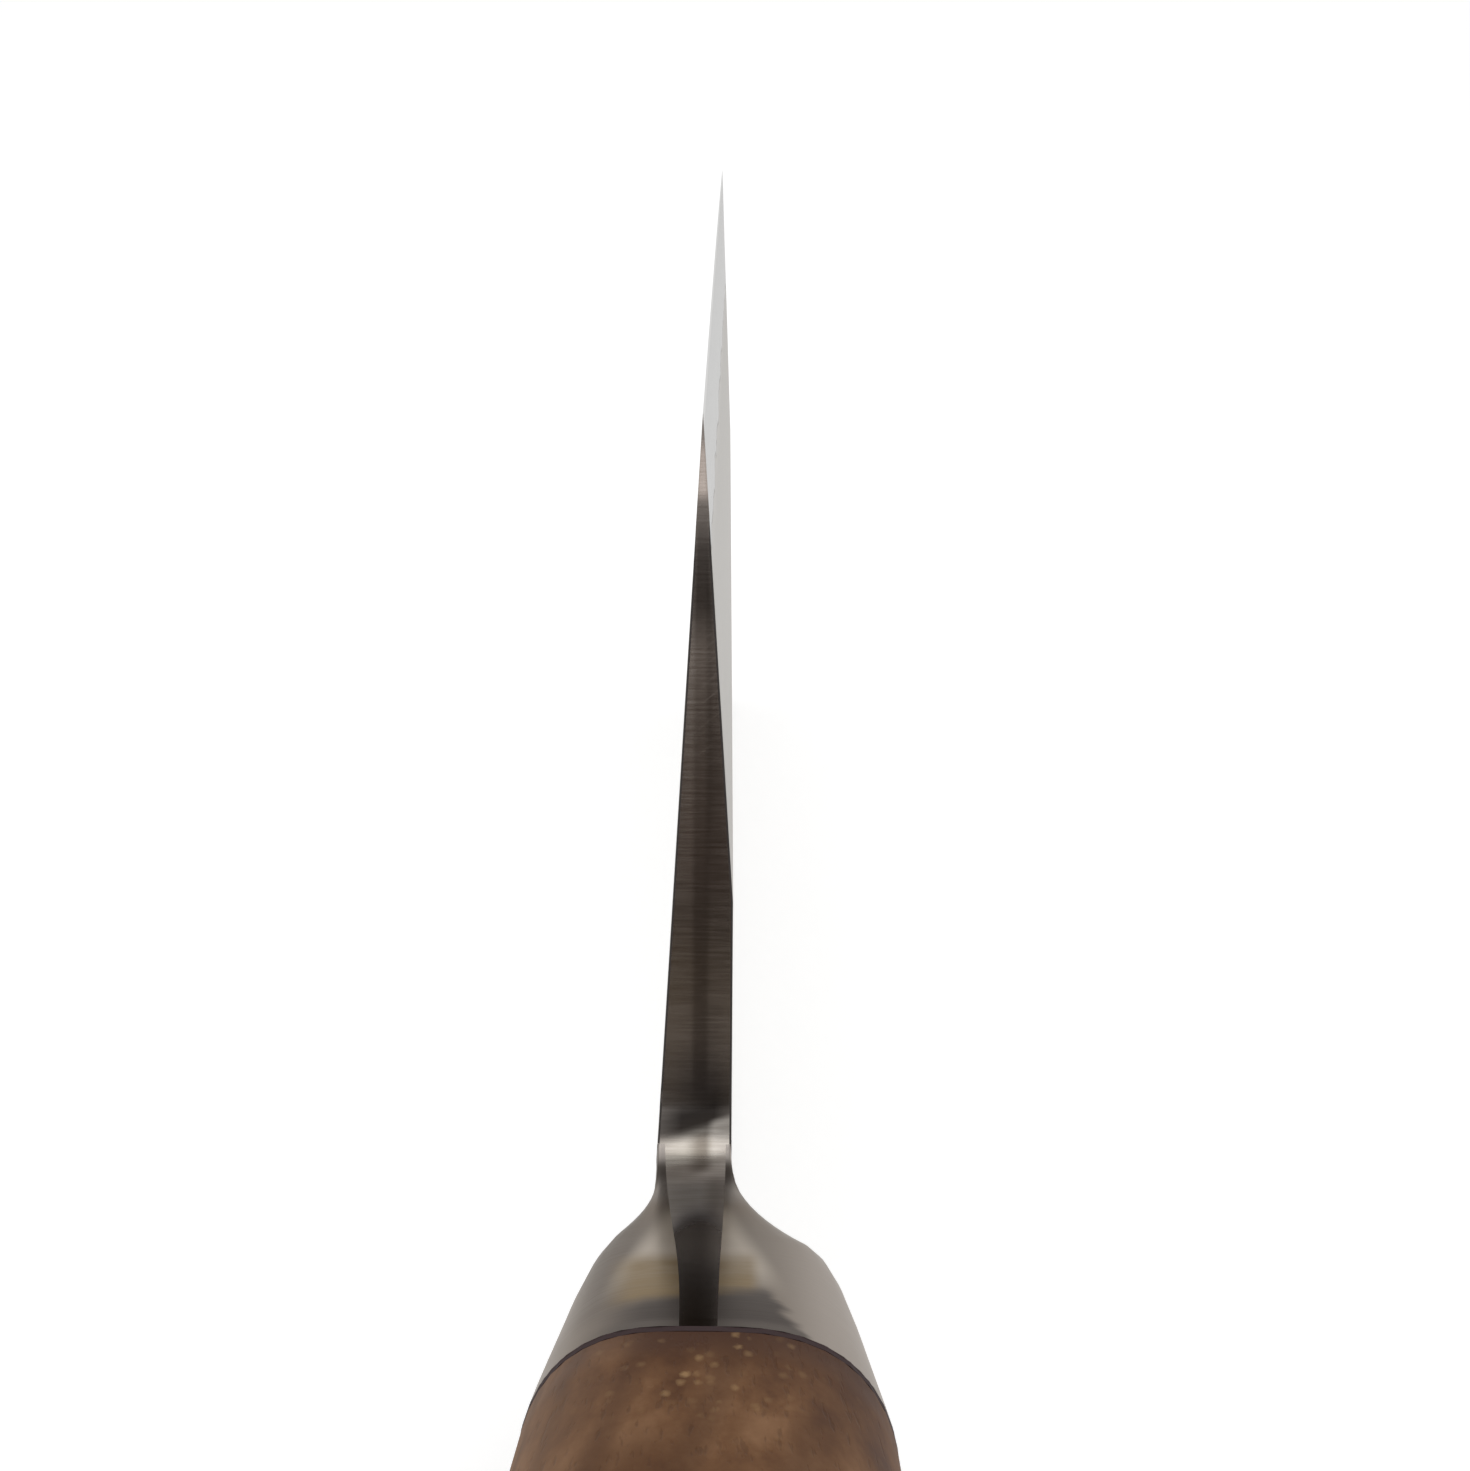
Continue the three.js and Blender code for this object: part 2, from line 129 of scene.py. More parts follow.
def new_finish(name):
    """A material, its node tree, its shader and the object's own coordinates in metres."""
    material = bpy.data.materials.new(name)
    material.use_nodes = True
    tree = material.node_tree
    return material, tree, tree.nodes["Principled BSDF"], add(tree, "ShaderNodeTexCoord").outputs["Object"]


print("a mid grey is", [round(v, 3) for v in linear("#808080")[:3]])

# %% [markdown]
# ## Floor and world
# The knife was cut out on white. A white floor and a white world give that, and both stay white for mirror rays too,
# so the steel has something pale to reflect. For the rays that gather light they are darker, so the floor keeps a soft
# shadow and colours come out about as they are written.

# %% Floor and world
FLOOR_SIZE = 6.0
FLOOR_DROP = 0.2 * MM
FLOOR_GLOW = 0.42
WORLD_FILL = 0.7


def looked_at(tree):
    """An output that is 1 on rays from the camera, a mirror or glass, and 0 on rays that gather light."""
    rays = add(tree, "ShaderNodeLightPath").outputs
    seen = {0: rays["Is Camera Ray"], 1: rays["Is Glossy Ray"]}
    seen = add(tree, "ShaderNodeMath", seen, operation="MAXIMUM").outputs[0]
    return add(tree, "ShaderNodeMath", {0: seen, 1: rays["Is Transmission Ray"]}, operation="MAXIMUM").outputs[0]


bpy.ops.object.select_all(action="DESELECT")
bpy.ops.mesh.primitive_plane_add(size=FLOOR_SIZE, location=(0, 0, -FLOOR_DROP))
floor = bpy.context.object
floor.name = "floor"
# Matt white card without any gloss: nothing shows on it but the shadow
paper, tree, shader, _ = new_finish("white paper")
shader.inputs["Base Color"].default_value = linear("#ebebeb")
shader.inputs["Roughness"].default_value = 0.9
shader.inputs["Specular IOR Level"].default_value = 0.0
glow = add(tree, "ShaderNodeMath", {0: looked_at(tree), 1: FLOOR_GLOW}, operation="MULTIPLY").outputs[0]
shader.inputs["Emission Color"].default_value = linear("#ffffff")
tree.links.new(glow, shader.inputs["Emission Strength"])
floor.data.materials.append(paper)

world = bpy.data.worlds.new("white studio")
bpy.context.scene.world = world
world.use_nodes = True
tree = world.node_tree
level = add(tree, "ShaderNodeMapRange", {"Value": looked_at(tree), "To Min": WORLD_FILL}).outputs["Result"]
tree.nodes["Background"].inputs["Color"].default_value = linear("#ffffff")
tree.links.new(level, tree.nodes["Background"].inputs["Strength"])
print("floor and world")

# %% [markdown]
# ## Lamps
# Polished steel shows its lamps as streaks, so lamps are broad and few: one hangs over the bolster and a weaker one
# stands at the right. Both face the knife, and the world fills what they leave dark.

# %% Lamps
LAMP_TARGET = Vector((0, 0, 0.02))


def softbox(name, place, width, height, watts):
    """A rectangular lamp that faces the knife."""
    bpy.ops.object.light_add(type="AREA", location=place)
    lamp = bpy.context.object
    lamp.name = name
    lamp.data.shape = "RECTANGLE"
    lamp.data.size = width
    lamp.data.size_y = height
    lamp.data.energy = watts
    lamp.rotation_euler = (LAMP_TARGET - Vector(place)).to_track_quat("-Z", "Y").to_euler()


softbox("lamp overhead", place=(-0.15, -0.3, 0.75), width=0.5, height=0.4, watts=1.2)
softbox("lamp right", place=(0.7, 0.2, 0.5), width=0.4, height=0.5, watts=0.7)
print("two lamps")

# %% [markdown]
# ## Helpers for modelling
# Most shaping happens in edit mode on what is selected, so picking by place is the tool that everything else rests
# on. It selects the vertices, edges or faces that pass a test, as a click or a box selection does in the window.

# %% Modelling helpers
SMOOTH_BELOW = math.radians(40)


def only(piece):
    """Selects one piece and nothing else, and makes it the active one."""
    bpy.ops.object.select_all(action="DESELECT")
    piece.select_set(True)
    bpy.context.view_layer.objects.active = piece


def edit(piece):
    """Opens one piece, and nothing else, in edit mode."""
    only(piece)
    bpy.ops.object.mode_set(mode="EDIT")


def close():
    """Leaves edit mode."""
    bpy.ops.object.mode_set(mode="OBJECT")


def pick(kind, test, among_selected=False):
    """Selects the vertices, edges or faces that pass a test, and says how many."""
    mesh = bpy.context.edit_object.data
    shape = bmesh.from_edit_mesh(mesh)
    parts = {"VERT": shape.verts, "EDGE": shape.edges, "FACE": shape.faces}[kind]
    chosen = [p for p in parts if (p.select or not among_selected) and test(p)]
    bpy.ops.mesh.select_mode(type=kind)
    bpy.ops.mesh.select_all(action="DESELECT")
    for part in chosen:
        part.select_set(True)
    bmesh.update_edit_mesh(mesh)
    return len(chosen)


def smooth(piece):
    """Smooth shading across every edge that turns only a little."""
    only(piece)
    bpy.ops.object.shade_smooth_by_angle(angle=SMOOTH_BELOW)


def cut_out(piece, cutter):
    """Takes one solid out of another and throws the cutter away."""
    only(piece)
    cut = piece.modifiers.new("cut", "BOOLEAN")
    cut.object = cutter
    cut.operation = "DIFFERENCE"
    cut.solver = "EXACT"
    bpy.ops.object.modifier_apply(modifier=cut.name)
    bpy.data.objects.remove(cutter)


print("helpers ready")

# %% [markdown]
# ## Blade layers
# A laminated blade is three plates forged into one: a hard core that carries the edge and a softer cladding on each
# face. Their planes are exact in the CAD model, so it would be a waste to draw them again. Each layer is a copy of its
# CAD node with the loose triangles merged. What the copy gains is what a grinder does last: the outer corners of
# spine, heel and neck are eased, so that they catch a line of light. A cut across each layer, level with the top of
# the choil's round, keeps that round apart from the heel, because one is shaded smooth and the other flat.

# %% Blade layers
EASED = 0.12 * MM
EASE_STEPS = 3
CORNER_TURN = math.radians(40)
SHARP = math.radians(25)
FLAT_TURN = math.radians(0.05)
MERGE = 0.001 * MM
TOUCH = 0.01 * MM
CHOIL_TOP = 18.2 * MM
SPINE_ROOM = 3 * MM
UNDERSIDE_LEAN = 0.1
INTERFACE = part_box("blade_core")[1].x
SHOULDER_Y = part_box("bolster_right")[1].y


def outer_corner(edge):
    """True on a corner of the blade that a hand can touch, apart from the cutting edge."""
    if edge.calc_face_angle(0) < CORNER_TURN:
        return False
    inside = all(abs(v.co.x) < INTERFACE + TOUCH for v in edge.verts)
    places = sorted(v.co.y - SHOULDER_Y for v in edge.verts)
    return not inside and places[0] > -TOUCH and places[1] > TOUCH


def underside(face):
    """True on the round of the choil, the neck and the strip of tang between the cheeks."""
    middle = face.calc_center_median()
    return abs(face.normal.x) < UNDERSIDE_LEAN and middle.y < 0 and SPINE_ROOM < middle.z < CHOIL_TOP


def blade_layer(node, name):
    """A merged copy of one CAD layer, with eased corners and a smooth underside."""
    layer = bpy.data.objects.new(name, frame["nodes"][node].data.copy())
    bpy.context.scene.collection.objects.link(layer)
    layer.data.materials.clear()
    only(layer)
    bpy.ops.mesh.customdata_custom_splitnormals_clear()
    edit(layer)
    bpy.ops.mesh.select_all(action="SELECT")
    bpy.ops.mesh.remove_doubles(threshold=MERGE)
    bpy.ops.mesh.dissolve_limited(angle_limit=FLAT_TURN)
    bpy.ops.mesh.select_all(action="SELECT")
    bpy.ops.mesh.bisect(plane_co=(0, 0, CHOIL_TOP), plane_no=(0, 0, 1))
    # The core lies between the plates and has no corner that a hand can touch
    eased = pick("EDGE", outer_corner)
    if eased:
        bpy.ops.mesh.bevel(offset=EASED, segments=EASE_STEPS, affect="EDGES", clamp_overlap=False)
    bpy.ops.mesh.select_all(action="SELECT")
    bpy.ops.mesh.faces_shade_flat()
    pick("FACE", underside)
    bpy.ops.mesh.faces_shade_smooth()
    pick("EDGE", lambda edge: edge.calc_face_angle(0) > SHARP)
    bpy.ops.mesh.mark_sharp()
    close()
    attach(layer, "root")
    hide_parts(node)
    print(f"{name}: {eased} corners eased, {len(layer.data.polygons)} faces")
    return layer


edge_core = blade_layer("blade_core", "edge_core")
left_plate = blade_layer("cladding_left", "left_plate")
right_plate = blade_layer("cladding_right", "right_plate")

# %% [markdown]
# ## Ribs and skin
# A shape whose section changes along its length is built like a boat. A modeller could push a cube about under a
# subdivision modifier, but here the sections are known exactly, so every rib is a plane whose corners are bevelled,
# and bridging the ribs makes the skin. The bevel's profile sets how square a corner stays. Widths and heights are read
# from the CAD node, ring by ring. A rib starts as a unit section, so that one bevel serves all sizes.

# %% Ribs and skin
RIB_STEPS = 14
RING_POINTS = 12
UNIT_MERGE = 0.0001


def rings_of(node):
    """Each ring of a lofted CAD node, from front to back: its Y and its lowest and highest corner."""
    rings = {}
    for vertex in frame["nodes"][node].data.vertices:
        place = tuple(round(c / MM, 3) for c in vertex.co)
        rings.setdefault(place[1], set()).add(place)
    full = [y for y, points in rings.items() if len(points) >= RING_POINTS]
    table = []
    for y in sorted(full, reverse=True):
        low = [min(p[i] for p in rings[y]) * MM for i in range(3)]
        high = [max(p[i] for p in rings[y]) * MM for i in range(3)]
        table.append((y * MM, low, high))
    return table


def open_empty(name):
    """A new piece with nothing in it yet, opened in edit mode."""
    bpy.ops.object.select_all(action="DESELECT")
    bpy.ops.mesh.primitive_plane_add(size=2)
    piece = bpy.context.object
    piece.name = piece.data.name = name
    edit(piece)
    bpy.ops.mesh.select_all(action="SELECT")
    bpy.ops.mesh.delete(type="VERT")
    return piece


def round_rib(squareness):
    """Rounds the selected corners of a unit section to a superellipse of this power, and stands it upright."""
    profile = 2 ** (-2 / squareness)
    bpy.ops.mesh.bevel(offset=1, affect="VERTICES", segments=RIB_STEPS, profile=profile, clamp_overlap=False)
    bpy.ops.mesh.select_linked()
    bpy.ops.mesh.remove_doubles(threshold=UNIT_MERGE)
    bpy.ops.transform.rotate(value=math.pi / 2, orient_axis="X", center_override=(0, 0, 0))


def skin():
    """Bridges the ribs of the open piece, closes both ends and turns the faces outwards."""
    bpy.ops.mesh.select_all(action="SELECT")
    bpy.ops.mesh.delete(type="ONLY_FACE")
    bpy.ops.mesh.select_all(action="SELECT")
    bpy.ops.mesh.bridge_edge_loops()
    bpy.ops.mesh.select_mode(type="EDGE")
    bpy.ops.mesh.select_non_manifold()
    bpy.ops.mesh.fill_holes(sides=0)
    bpy.ops.mesh.select_all(action="SELECT")
    bpy.ops.mesh.normals_make_consistent(inside=False)


print("rings in the handle's CAD node:", len(rings_of("handle")))

# %% [markdown]
# ## Bolster cheeks
# Each cheek of the bolster sweeps out of the blade like a ship's bow: at the neck its section is almost a rectangle,
# at the handle it is half a rounded oval. So the squareness of its two outer corners is eased from rib to rib. The
# inner side lies flat against the tang, with a hair of room for the braze, and is bored for the two blind pins.

# %% Bolster cheeks
NECK_SQUARENESS = 12.0
HANDLE_SQUARENESS = 2.6
SQUARENESS_EASE = 3
BRAZE_GAP = 0.05 * MM
PIN_CLEARANCE = 0.1 * MM
PIN_SIDES = 32


def add_cheek_rib(side, y, inner, outer, height, squareness):
    """One half section: flat against the tang, with two rounded corners outside."""
    bpy.ops.mesh.primitive_plane_add(size=2)
    bpy.ops.transform.resize(value=(0.5, 1, 1), center_override=(-1, 0, 0))
    bpy.ops.transform.translate(value=(1, 0, 0))
    pick("VERT", lambda v: v.co.x > 0.5, among_selected=True)
    round_rib(squareness)
    reach = abs(outer) - abs(inner)
    bpy.ops.transform.resize(value=(side * reach, 1, height / 2), center_override=(0, 0, 0))
    bpy.ops.transform.translate(value=(inner, y, height / 2))


def pin_cutter(node):
    """A round bar that clears one pin."""
    low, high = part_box(node)
    bpy.ops.object.select_all(action="DESELECT")
    bpy.ops.mesh.primitive_cylinder_add(
        vertices=PIN_SIDES,
        radius=(high.z - low.z) / 2 + PIN_CLEARANCE,
        depth=high.x - low.x + 2 * PIN_CLEARANCE,
        location=(low + high) / 2,
        rotation=(0, math.pi / 2, 0),
    )
    return bpy.context.object


def cheek(node, name, side):
    """One cheek of the bolster, ribbed, skinned and bored for the pins."""
    piece = open_empty(name)
    rings = rings_of(node)
    front, back = rings[0][0], rings[-1][0]
    for y, low, high in rings:
        inner, outer = (low[0], high[0]) if side > 0 else (high[0], low[0])
        forward = ((y - back) / (front - back)) ** SQUARENESS_EASE
        squareness = HANDLE_SQUARENESS + (NECK_SQUARENESS - HANDLE_SQUARENESS) * forward
        add_cheek_rib(side, y, inner - side * BRAZE_GAP, outer, high[2], squareness)
    skin()
    close()
    for pin in ("bolster_pin_front", "bolster_pin_rear"):
        cut_out(piece, pin_cutter(pin))
    smooth(piece)
    weigh = piece.modifiers.new("weigh", "WEIGHTED_NORMAL")
    weigh.keep_sharp = True
    bpy.ops.object.modifier_apply(modifier=weigh.name)
    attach(piece, "root")
    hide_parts(node)
    print(f"{name}: {len(rings)} ribs, {len(piece.data.polygons)} faces")
    return piece


left_cheek = cheek("bolster_left", "left_cheek", -1)
right_cheek = cheek("bolster_right", "right_cheek", 1)

# %% [markdown]
# ## Wooden handle
# The handle is turned and sanded from one block: an oval with a narrow flat along its back and belly that carries on
# from the tang, swelling in the palm. It is ribbed in the same way as the cheeks, with all four corners of each rib
# rounded. The two halves are then drawn out to their own widths, because the flat isn't quite in the middle. One bevel
# rounds the butt, and another eases the rim at the front.

# %% Wooden handle
BUTT_ROUND = 5 * MM
BUTT_STEPS = 8
RIM_EASE = 0.1 * MM
RIM_STEPS = 2
FLAT_LEFT = 0.55 * MM
FLAT_RIGHT = 1.15 * MM
UNIT_FLAT = 0.5
# The rings of the slot inside are lower than this, and those of the butt lie closer to its end
LOWEST_RIB = 15 * MM
BUTT_ROOM = 0.9 * BUTT_ROUND


def add_handle_rib(y, left, right, height):
    """One full section: two rounded halves either side of a narrow flat."""
    bpy.ops.mesh.primitive_plane_add(size=2)
    bpy.ops.transform.resize(value=(1 + UNIT_FLAT, 1, 1), center_override=(0, 0, 0))
    round_rib(HANDLE_SQUARENESS)
    bpy.ops.transform.resize(value=(1, 1, height / 2), center_override=(0, 0, 0))
    bpy.ops.transform.translate(value=(0, y, height / 2))
    rib = {v.index for v in bmesh.from_edit_mesh(bpy.context.edit_object.data).verts if v.select}
    for side, reach, flat in ((1, right, FLAT_RIGHT), (-1, left, FLAT_LEFT)):
        pick("VERT", lambda v: v.index in rib and side * v.co.x > UNIT_FLAT / 2)
        bpy.ops.transform.resize(value=(reach - flat, 1, 1), center_override=(side * UNIT_FLAT, 0, 0))
        bpy.ops.transform.translate(value=(side * (flat - UNIT_FLAT), 0, 0))


wood_handle = open_empty("wood_handle")
butt_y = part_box("handle")[0].y
body_rings = [ring for ring in rings_of("handle") if ring[0] > butt_y + BUTT_ROOM and ring[2][2] > LOWEST_RIB]
for y, low, high in body_rings:
    add_handle_rib(y, -low[0], high[0], high[2])
front_y, (_, last_low, last_high) = body_rings[0][0], body_rings[-1]
add_handle_rib(butt_y, -last_low[0], last_high[0], last_high[2])
skin()
pick("EDGE", lambda edge: all(v.co.y < butt_y + TOUCH for v in edge.verts))
bpy.ops.mesh.bevel(offset=BUTT_ROUND, segments=BUTT_STEPS, affect="EDGES", clamp_overlap=False)
pick("EDGE", lambda edge: all(v.co.y > front_y - TOUCH for v in edge.verts))
bpy.ops.mesh.bevel(offset=RIM_EASE, segments=RIM_STEPS, affect="EDGES", clamp_overlap=False)
close()
print(f"wood_handle: {len(body_rings)} ribs, {len(wood_handle.data.polygons)} faces")

# %% [markdown]
# ## Slot for the tang
# The tang sits in a blind slot, bedded in resin. Nobody sees it in a whole knife, but a solid block would be a lie
# once the part is taken apart. A block a little larger than the resin, with its four long edges rounded, is cut out.

# %% Slot for the tang
BOND_GAP = 0.15 * MM
SLOT_STEPS = 8
LONG_EDGE = 10 * MM

low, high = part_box("tang_bedding")
bpy.ops.object.select_all(action="DESELECT")
bpy.ops.mesh.primitive_cube_add(size=1, location=(low + high) / 2)
slot = bpy.context.object
slot.scale = [high[i] - low[i] + 2 * BOND_GAP for i in range(3)]
bpy.ops.object.transform_apply(location=True, rotation=True, scale=True)
edit(slot)
pick("EDGE", lambda edge: abs(edge.verts[0].co.y - edge.verts[1].co.y) > LONG_EDGE)
bpy.ops.mesh.bevel(offset=(high.x - low.x) / 2, segments=SLOT_STEPS, affect="EDGES")
close()
cut_out(wood_handle, slot)
smooth(wood_handle)
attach(wood_handle, "root")
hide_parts("handle")
print(f"wood_handle with its slot: {len(wood_handle.data.polygons)} faces")

# %% [markdown]
# ## Ground steel
# All the steel here was finished on abrasive belts, and a belt leaves hairlines: thin, long, parallel scratches. An
# image of brushed metal would do, but a stretched noise gives the same lines on any shape without a seam. The noise
# drives tone, roughness and a shallow bump together, because a scratch is darker, duller and lower than what is
# beside it. The three sizes are how far the pattern runs across, along and up the knife. Real belt lines are about
# 0.05 mm apart; they are drawn three times coarser so that they show.

# %% Ground steel
HAIR_DEPTH = 0.01


def ground_steel(name, lay, dull, bright, gloss, depth=HAIR_DEPTH):
    """Steel with hairlines of these sizes in mm; gives the material, its tree, shader, coordinates and tone."""
    material, tree, shader, where = new_finish(name)
    hairs = {"Vector": where, "Scale": [size * MM for size in lay]}
    hairs = add(tree, "ShaderNodeMapping", hairs, vector_type="TEXTURE").outputs[0]
    lines = {"Vector": hairs, "Scale": 1.0, "Detail": 3.0, "Roughness": 0.6}
    lines = add(tree, "ShaderNodeTexNoise", lines).outputs[0]
    tone = add(tree, "ShaderNodeMix", {0: lines, 6: linear(dull), 7: linear(bright)}, data_type="RGBA").outputs[2]
    rough = add(tree, "ShaderNodeMapRange", {"Value": lines, "To Min": gloss[0], "To Max": gloss[1]}).outputs[0]
    relief = add(tree, "ShaderNodeBump", {"Strength": 0.3, "Distance": depth * MM, "Height": lines}).outputs[0]
    shader.inputs["Metallic"].default_value = 1.0
    shader.inputs["Specular Tint"].default_value = linear("#c4c2bf")
    tree.links.new(tone, shader.inputs["Base Color"])
    tree.links.new(rough, shader.inputs["Roughness"])
    tree.links.new(relief, shader.inputs["Normal"])
    return material, tree, shader, where, tone


# Stainless cladding, belt ground from spine to edge: pale grey, upright hairlines, a soft gleam
flat_steel, *_ = ground_steel("satin ground stainless steel", (2, 0.16, 18), "#b7b6b2", "#d4d2ce", (0.26, 0.42))
# The spine is ground lengthwise on a coarser belt: the same steel, a little brighter in lines along the knife
spine_steel, *_ = ground_steel("lengthwise ground steel", (0.2, 25, 0.2), "#a3a19d", "#d0cecb", (0.24, 0.4), 0.015)
# The eased corners round the heel are painted dark: a thin dull outline of painted shade round the heel
dark_outline_steel, *_ = ground_steel("dark outline steel", (0.3, 0.3, 2), "#2e2b29", "#454140", (0.3, 0.45))
print("flat, spine and corner steel")

# %% [markdown]
# ## Bevels and the lamination line
# Grinding the bevel cuts through the soft cladding and lays the hard core bare. On a real laminated knife the joint is
# never straight: forging leaves it wavy, with a pale cloud just above it and a thin dark line on it. The bare core
# below is harder and takes a finer polish. The plates of the model meet on a straight seam, so the wave is painted a
# little above that seam, on the cladding. Its height is worked out from the same wedge: the thinner the blade gets
# towards the tip, the more core a bevel of the same height lays bare. Lengths here are in mm.

# %% Bevels and the lamination line
BLADE_LENGTH = 165.0
HEEL_HEIGHT = 54.0
EDGE_DROP = 1.6
EDGE_EASE = 2.5
# Half the thickness at the heel and at the tip, and the height of the bevel
LEFT_WEDGE = (2.3, 1.2, 40.0)
RIGHT_WEDGE = (1.7, 0.95, 26.0)
LINE_RISE = 1.6
LINE_BLUR = 0.1
WAVE_LENGTH = 11.0
WAVE_HEIGHT = 3.0
CLOUD_SPAN = (-2.0, 0.5)
CLOUD = [(0.0, "#f4f3f2"), (0.7, "#ffffff"), (0.8, "#a09e9b"), (0.88, "#ffffff")]
CORE_TONES = ("#94979a", "#b3b6b8")
CORE_GLOSS = (0.14, 0.24)
SATIN, POLISHED = 0.3, 0.19


def along_blade(tree, where):
    """Outputs for the share of the way to the tip, and the height above the cutting edge in mm."""
    _, along, up = add(tree, "ShaderNodeSeparateXYZ", {0: where}).outputs
    share = add(tree, "ShaderNodeMapRange", {"Value": along, "From Max": BLADE_LENGTH * MM}).outputs[0]
    eased = add(tree, "ShaderNodeMath", {0: share, 1: EDGE_EASE}, operation="POWER").outputs[0]
    height = add(tree, "ShaderNodeMath", {0: up, 1: 1 / MM, 2: -HEEL_HEIGHT}, operation="MULTIPLY_ADD").outputs[0]
    over_edge = {0: eased, 1: EDGE_DROP, 2: height}
    return share, add(tree, "ShaderNodeMath", over_edge, operation="MULTIPLY_ADD").outputs[0]


def bevel_steel(name, heel_half, tip_half, grind):
    """The bevel of one side: satin cladding, a pale cloud, a dark line and the polished core."""
    material, tree, shader, where, tone = ground_steel(name, (2, 0.13, 14), "#bab9b5", "#d6d4d1", (SATIN, SATIN))
    share, over_edge = along_blade(tree, where)
    half = add(tree, "ShaderNodeMapRange", {"Value": share, "To Min": heel_half, "To Max": tip_half}).outputs[0]
    bare = add(tree, "ShaderNodeMath", {0: grind * INTERFACE / MM, 1: half}, operation="DIVIDE").outputs[0]
    over_seam = add(tree, "ShaderNodeMath", {0: over_edge, 1: bare}, operation="ADD").outputs[0]
    forged = {"Vector": where, "Scale": [WAVE_LENGTH * MM] * 3}
    forged = add(tree, "ShaderNodeMapping", forged, vector_type="TEXTURE").outputs[0]
    wave = add(tree, "ShaderNodeTexNoise", {"Vector": forged, "Scale": 1.0, "Detail": 4.0}).outputs[0]
    rise = {"Value": wave, "To Min": LINE_RISE - WAVE_HEIGHT / 2, "To Max": LINE_RISE + WAVE_HEIGHT / 2}
    rise = add(tree, "ShaderNodeMapRange", rise).outputs[0]
    over_line = add(tree, "ShaderNodeMath", {0: over_seam, 1: rise}, operation="ADD").outputs[0]
    core_shows = {"Value": over_line, "From Min": -LINE_BLUR, "From Max": LINE_BLUR}
    core_shows = add(tree, "ShaderNodeMapRange", core_shows).outputs[0]
    core = {0: wave, 6: linear(CORE_TONES[0]), 7: linear(CORE_TONES[1])}
    core = add(tree, "ShaderNodeMix", core, data_type="RGBA").outputs[2]
    tone = add(tree, "ShaderNodeMix", {0: core_shows, 6: tone, 7: core}, data_type="RGBA").outputs[2]
    by_line = {"Value": over_line, "From Min": CLOUD_SPAN[0], "From Max": CLOUD_SPAN[1]}
    by_line = add(tree, "ShaderNodeMapRange", by_line).outputs[0]
    cloud = add(tree, "ShaderNodeValToRGB", {0: by_line}, stops=CLOUD).outputs[0]
    mixed = add(tree, "ShaderNodeMix", {0: 1.0, 6: tone, 7: cloud}, data_type="RGBA", blend_type="MULTIPLY").outputs[2]
    polish = add(tree, "ShaderNodeMapRange", {"Value": core_shows, "To Min": SATIN, "To Max": POLISHED}).outputs[0]
    tree.links.new(mixed, shader.inputs["Base Color"])
    tree.links.new(polish, shader.inputs["Roughness"])
    return material


left_bevel = bevel_steel("satin bevel, left", *LEFT_WEDGE)
right_bevel = bevel_steel("satin bevel, right", *RIGHT_WEDGE)
print("bevels:", left_bevel.name, "and", right_bevel.name)

# %% [markdown]
# ## Core steel
# The hard core takes a finer polish than the cladding, and the last millimetre by the edge is honed on a stone and
# painted brighter still: a painted highlight for the light that a honed edge catches. That thin line is what tells the
# eye that a knife is sharp.

# %% Core steel
HONED_HIGHLIGHT = (-1.0, -0.7)

# Carbon steel, polished and then honed: cool grey with fine lines along the edge and a painted highlight on it
core_steel, tree, shader, where, tone = ground_steel(
    "polished core steel", (1, 6, 0.1), *CORE_TONES, CORE_GLOSS, 0.006
)
_, over_edge = along_blade(tree, where)
honed_highlight = {"Value": over_edge, "From Min": HONED_HIGHLIGHT[0], "From Max": HONED_HIGHLIGHT[1]}
honed_highlight = add(tree, "ShaderNodeMapRange", honed_highlight, interpolation_type="SMOOTHSTEP").outputs[0]
mixed = add(tree, "ShaderNodeMix", {0: honed_highlight, 6: tone, 7: linear("#d6d8da")}, data_type="RGBA").outputs[2]
tree.links.new(mixed, shader.inputs["Base Color"])
print("core steel")

# %% [markdown]
# ## Profile of the heel and tang
# The heel, the round of the choil and the neck are ground across on a worn belt, so these hairlines run from side to
# side. One profile carries on from the cutting edge down the heel, round the choil and back along the tang. On it the
# sum of height and Y only ever falls, so that sum says how far along the profile a point is. Two things bend it:
# across the round it is tilted, so that the painted highlight there lies askew, and on the tang the painted dark
# starts later towards the sides. A soft patch is the tool for this and for every painted tone and patch below: it is a
# product of limits, each fading in between two places.

# %% Profile of the heel and tang
ROUND_TOP = 17.5
ROUND_FADE = 2.0
HIGHLIGHT_TILT = 0.4
STRIP_LAG = 1.5
LONGEST_LAG = 4.0
LAG_FADE = (8.0, 13.5)


def patch(tree, *limits):
    """A soft mask, the product of its limits: a mask, or a coordinate with the mm where it is 0 and where it is 1."""
    mask = None
    for limit in limits:
        if isinstance(limit, tuple):
            coordinate, start, end = limit
            fade = {"Value": coordinate, "From Min": start * MM, "From Max": end * MM}
            limit = add(tree, "ShaderNodeMapRange", fade, interpolation_type="SMOOTHSTEP").outputs[0]
        if mask is None:
            mask = limit
        else:
            mask = add(tree, "ShaderNodeMath", {0: mask, 1: limit}, operation="MULTIPLY").outputs[0]
    return mask
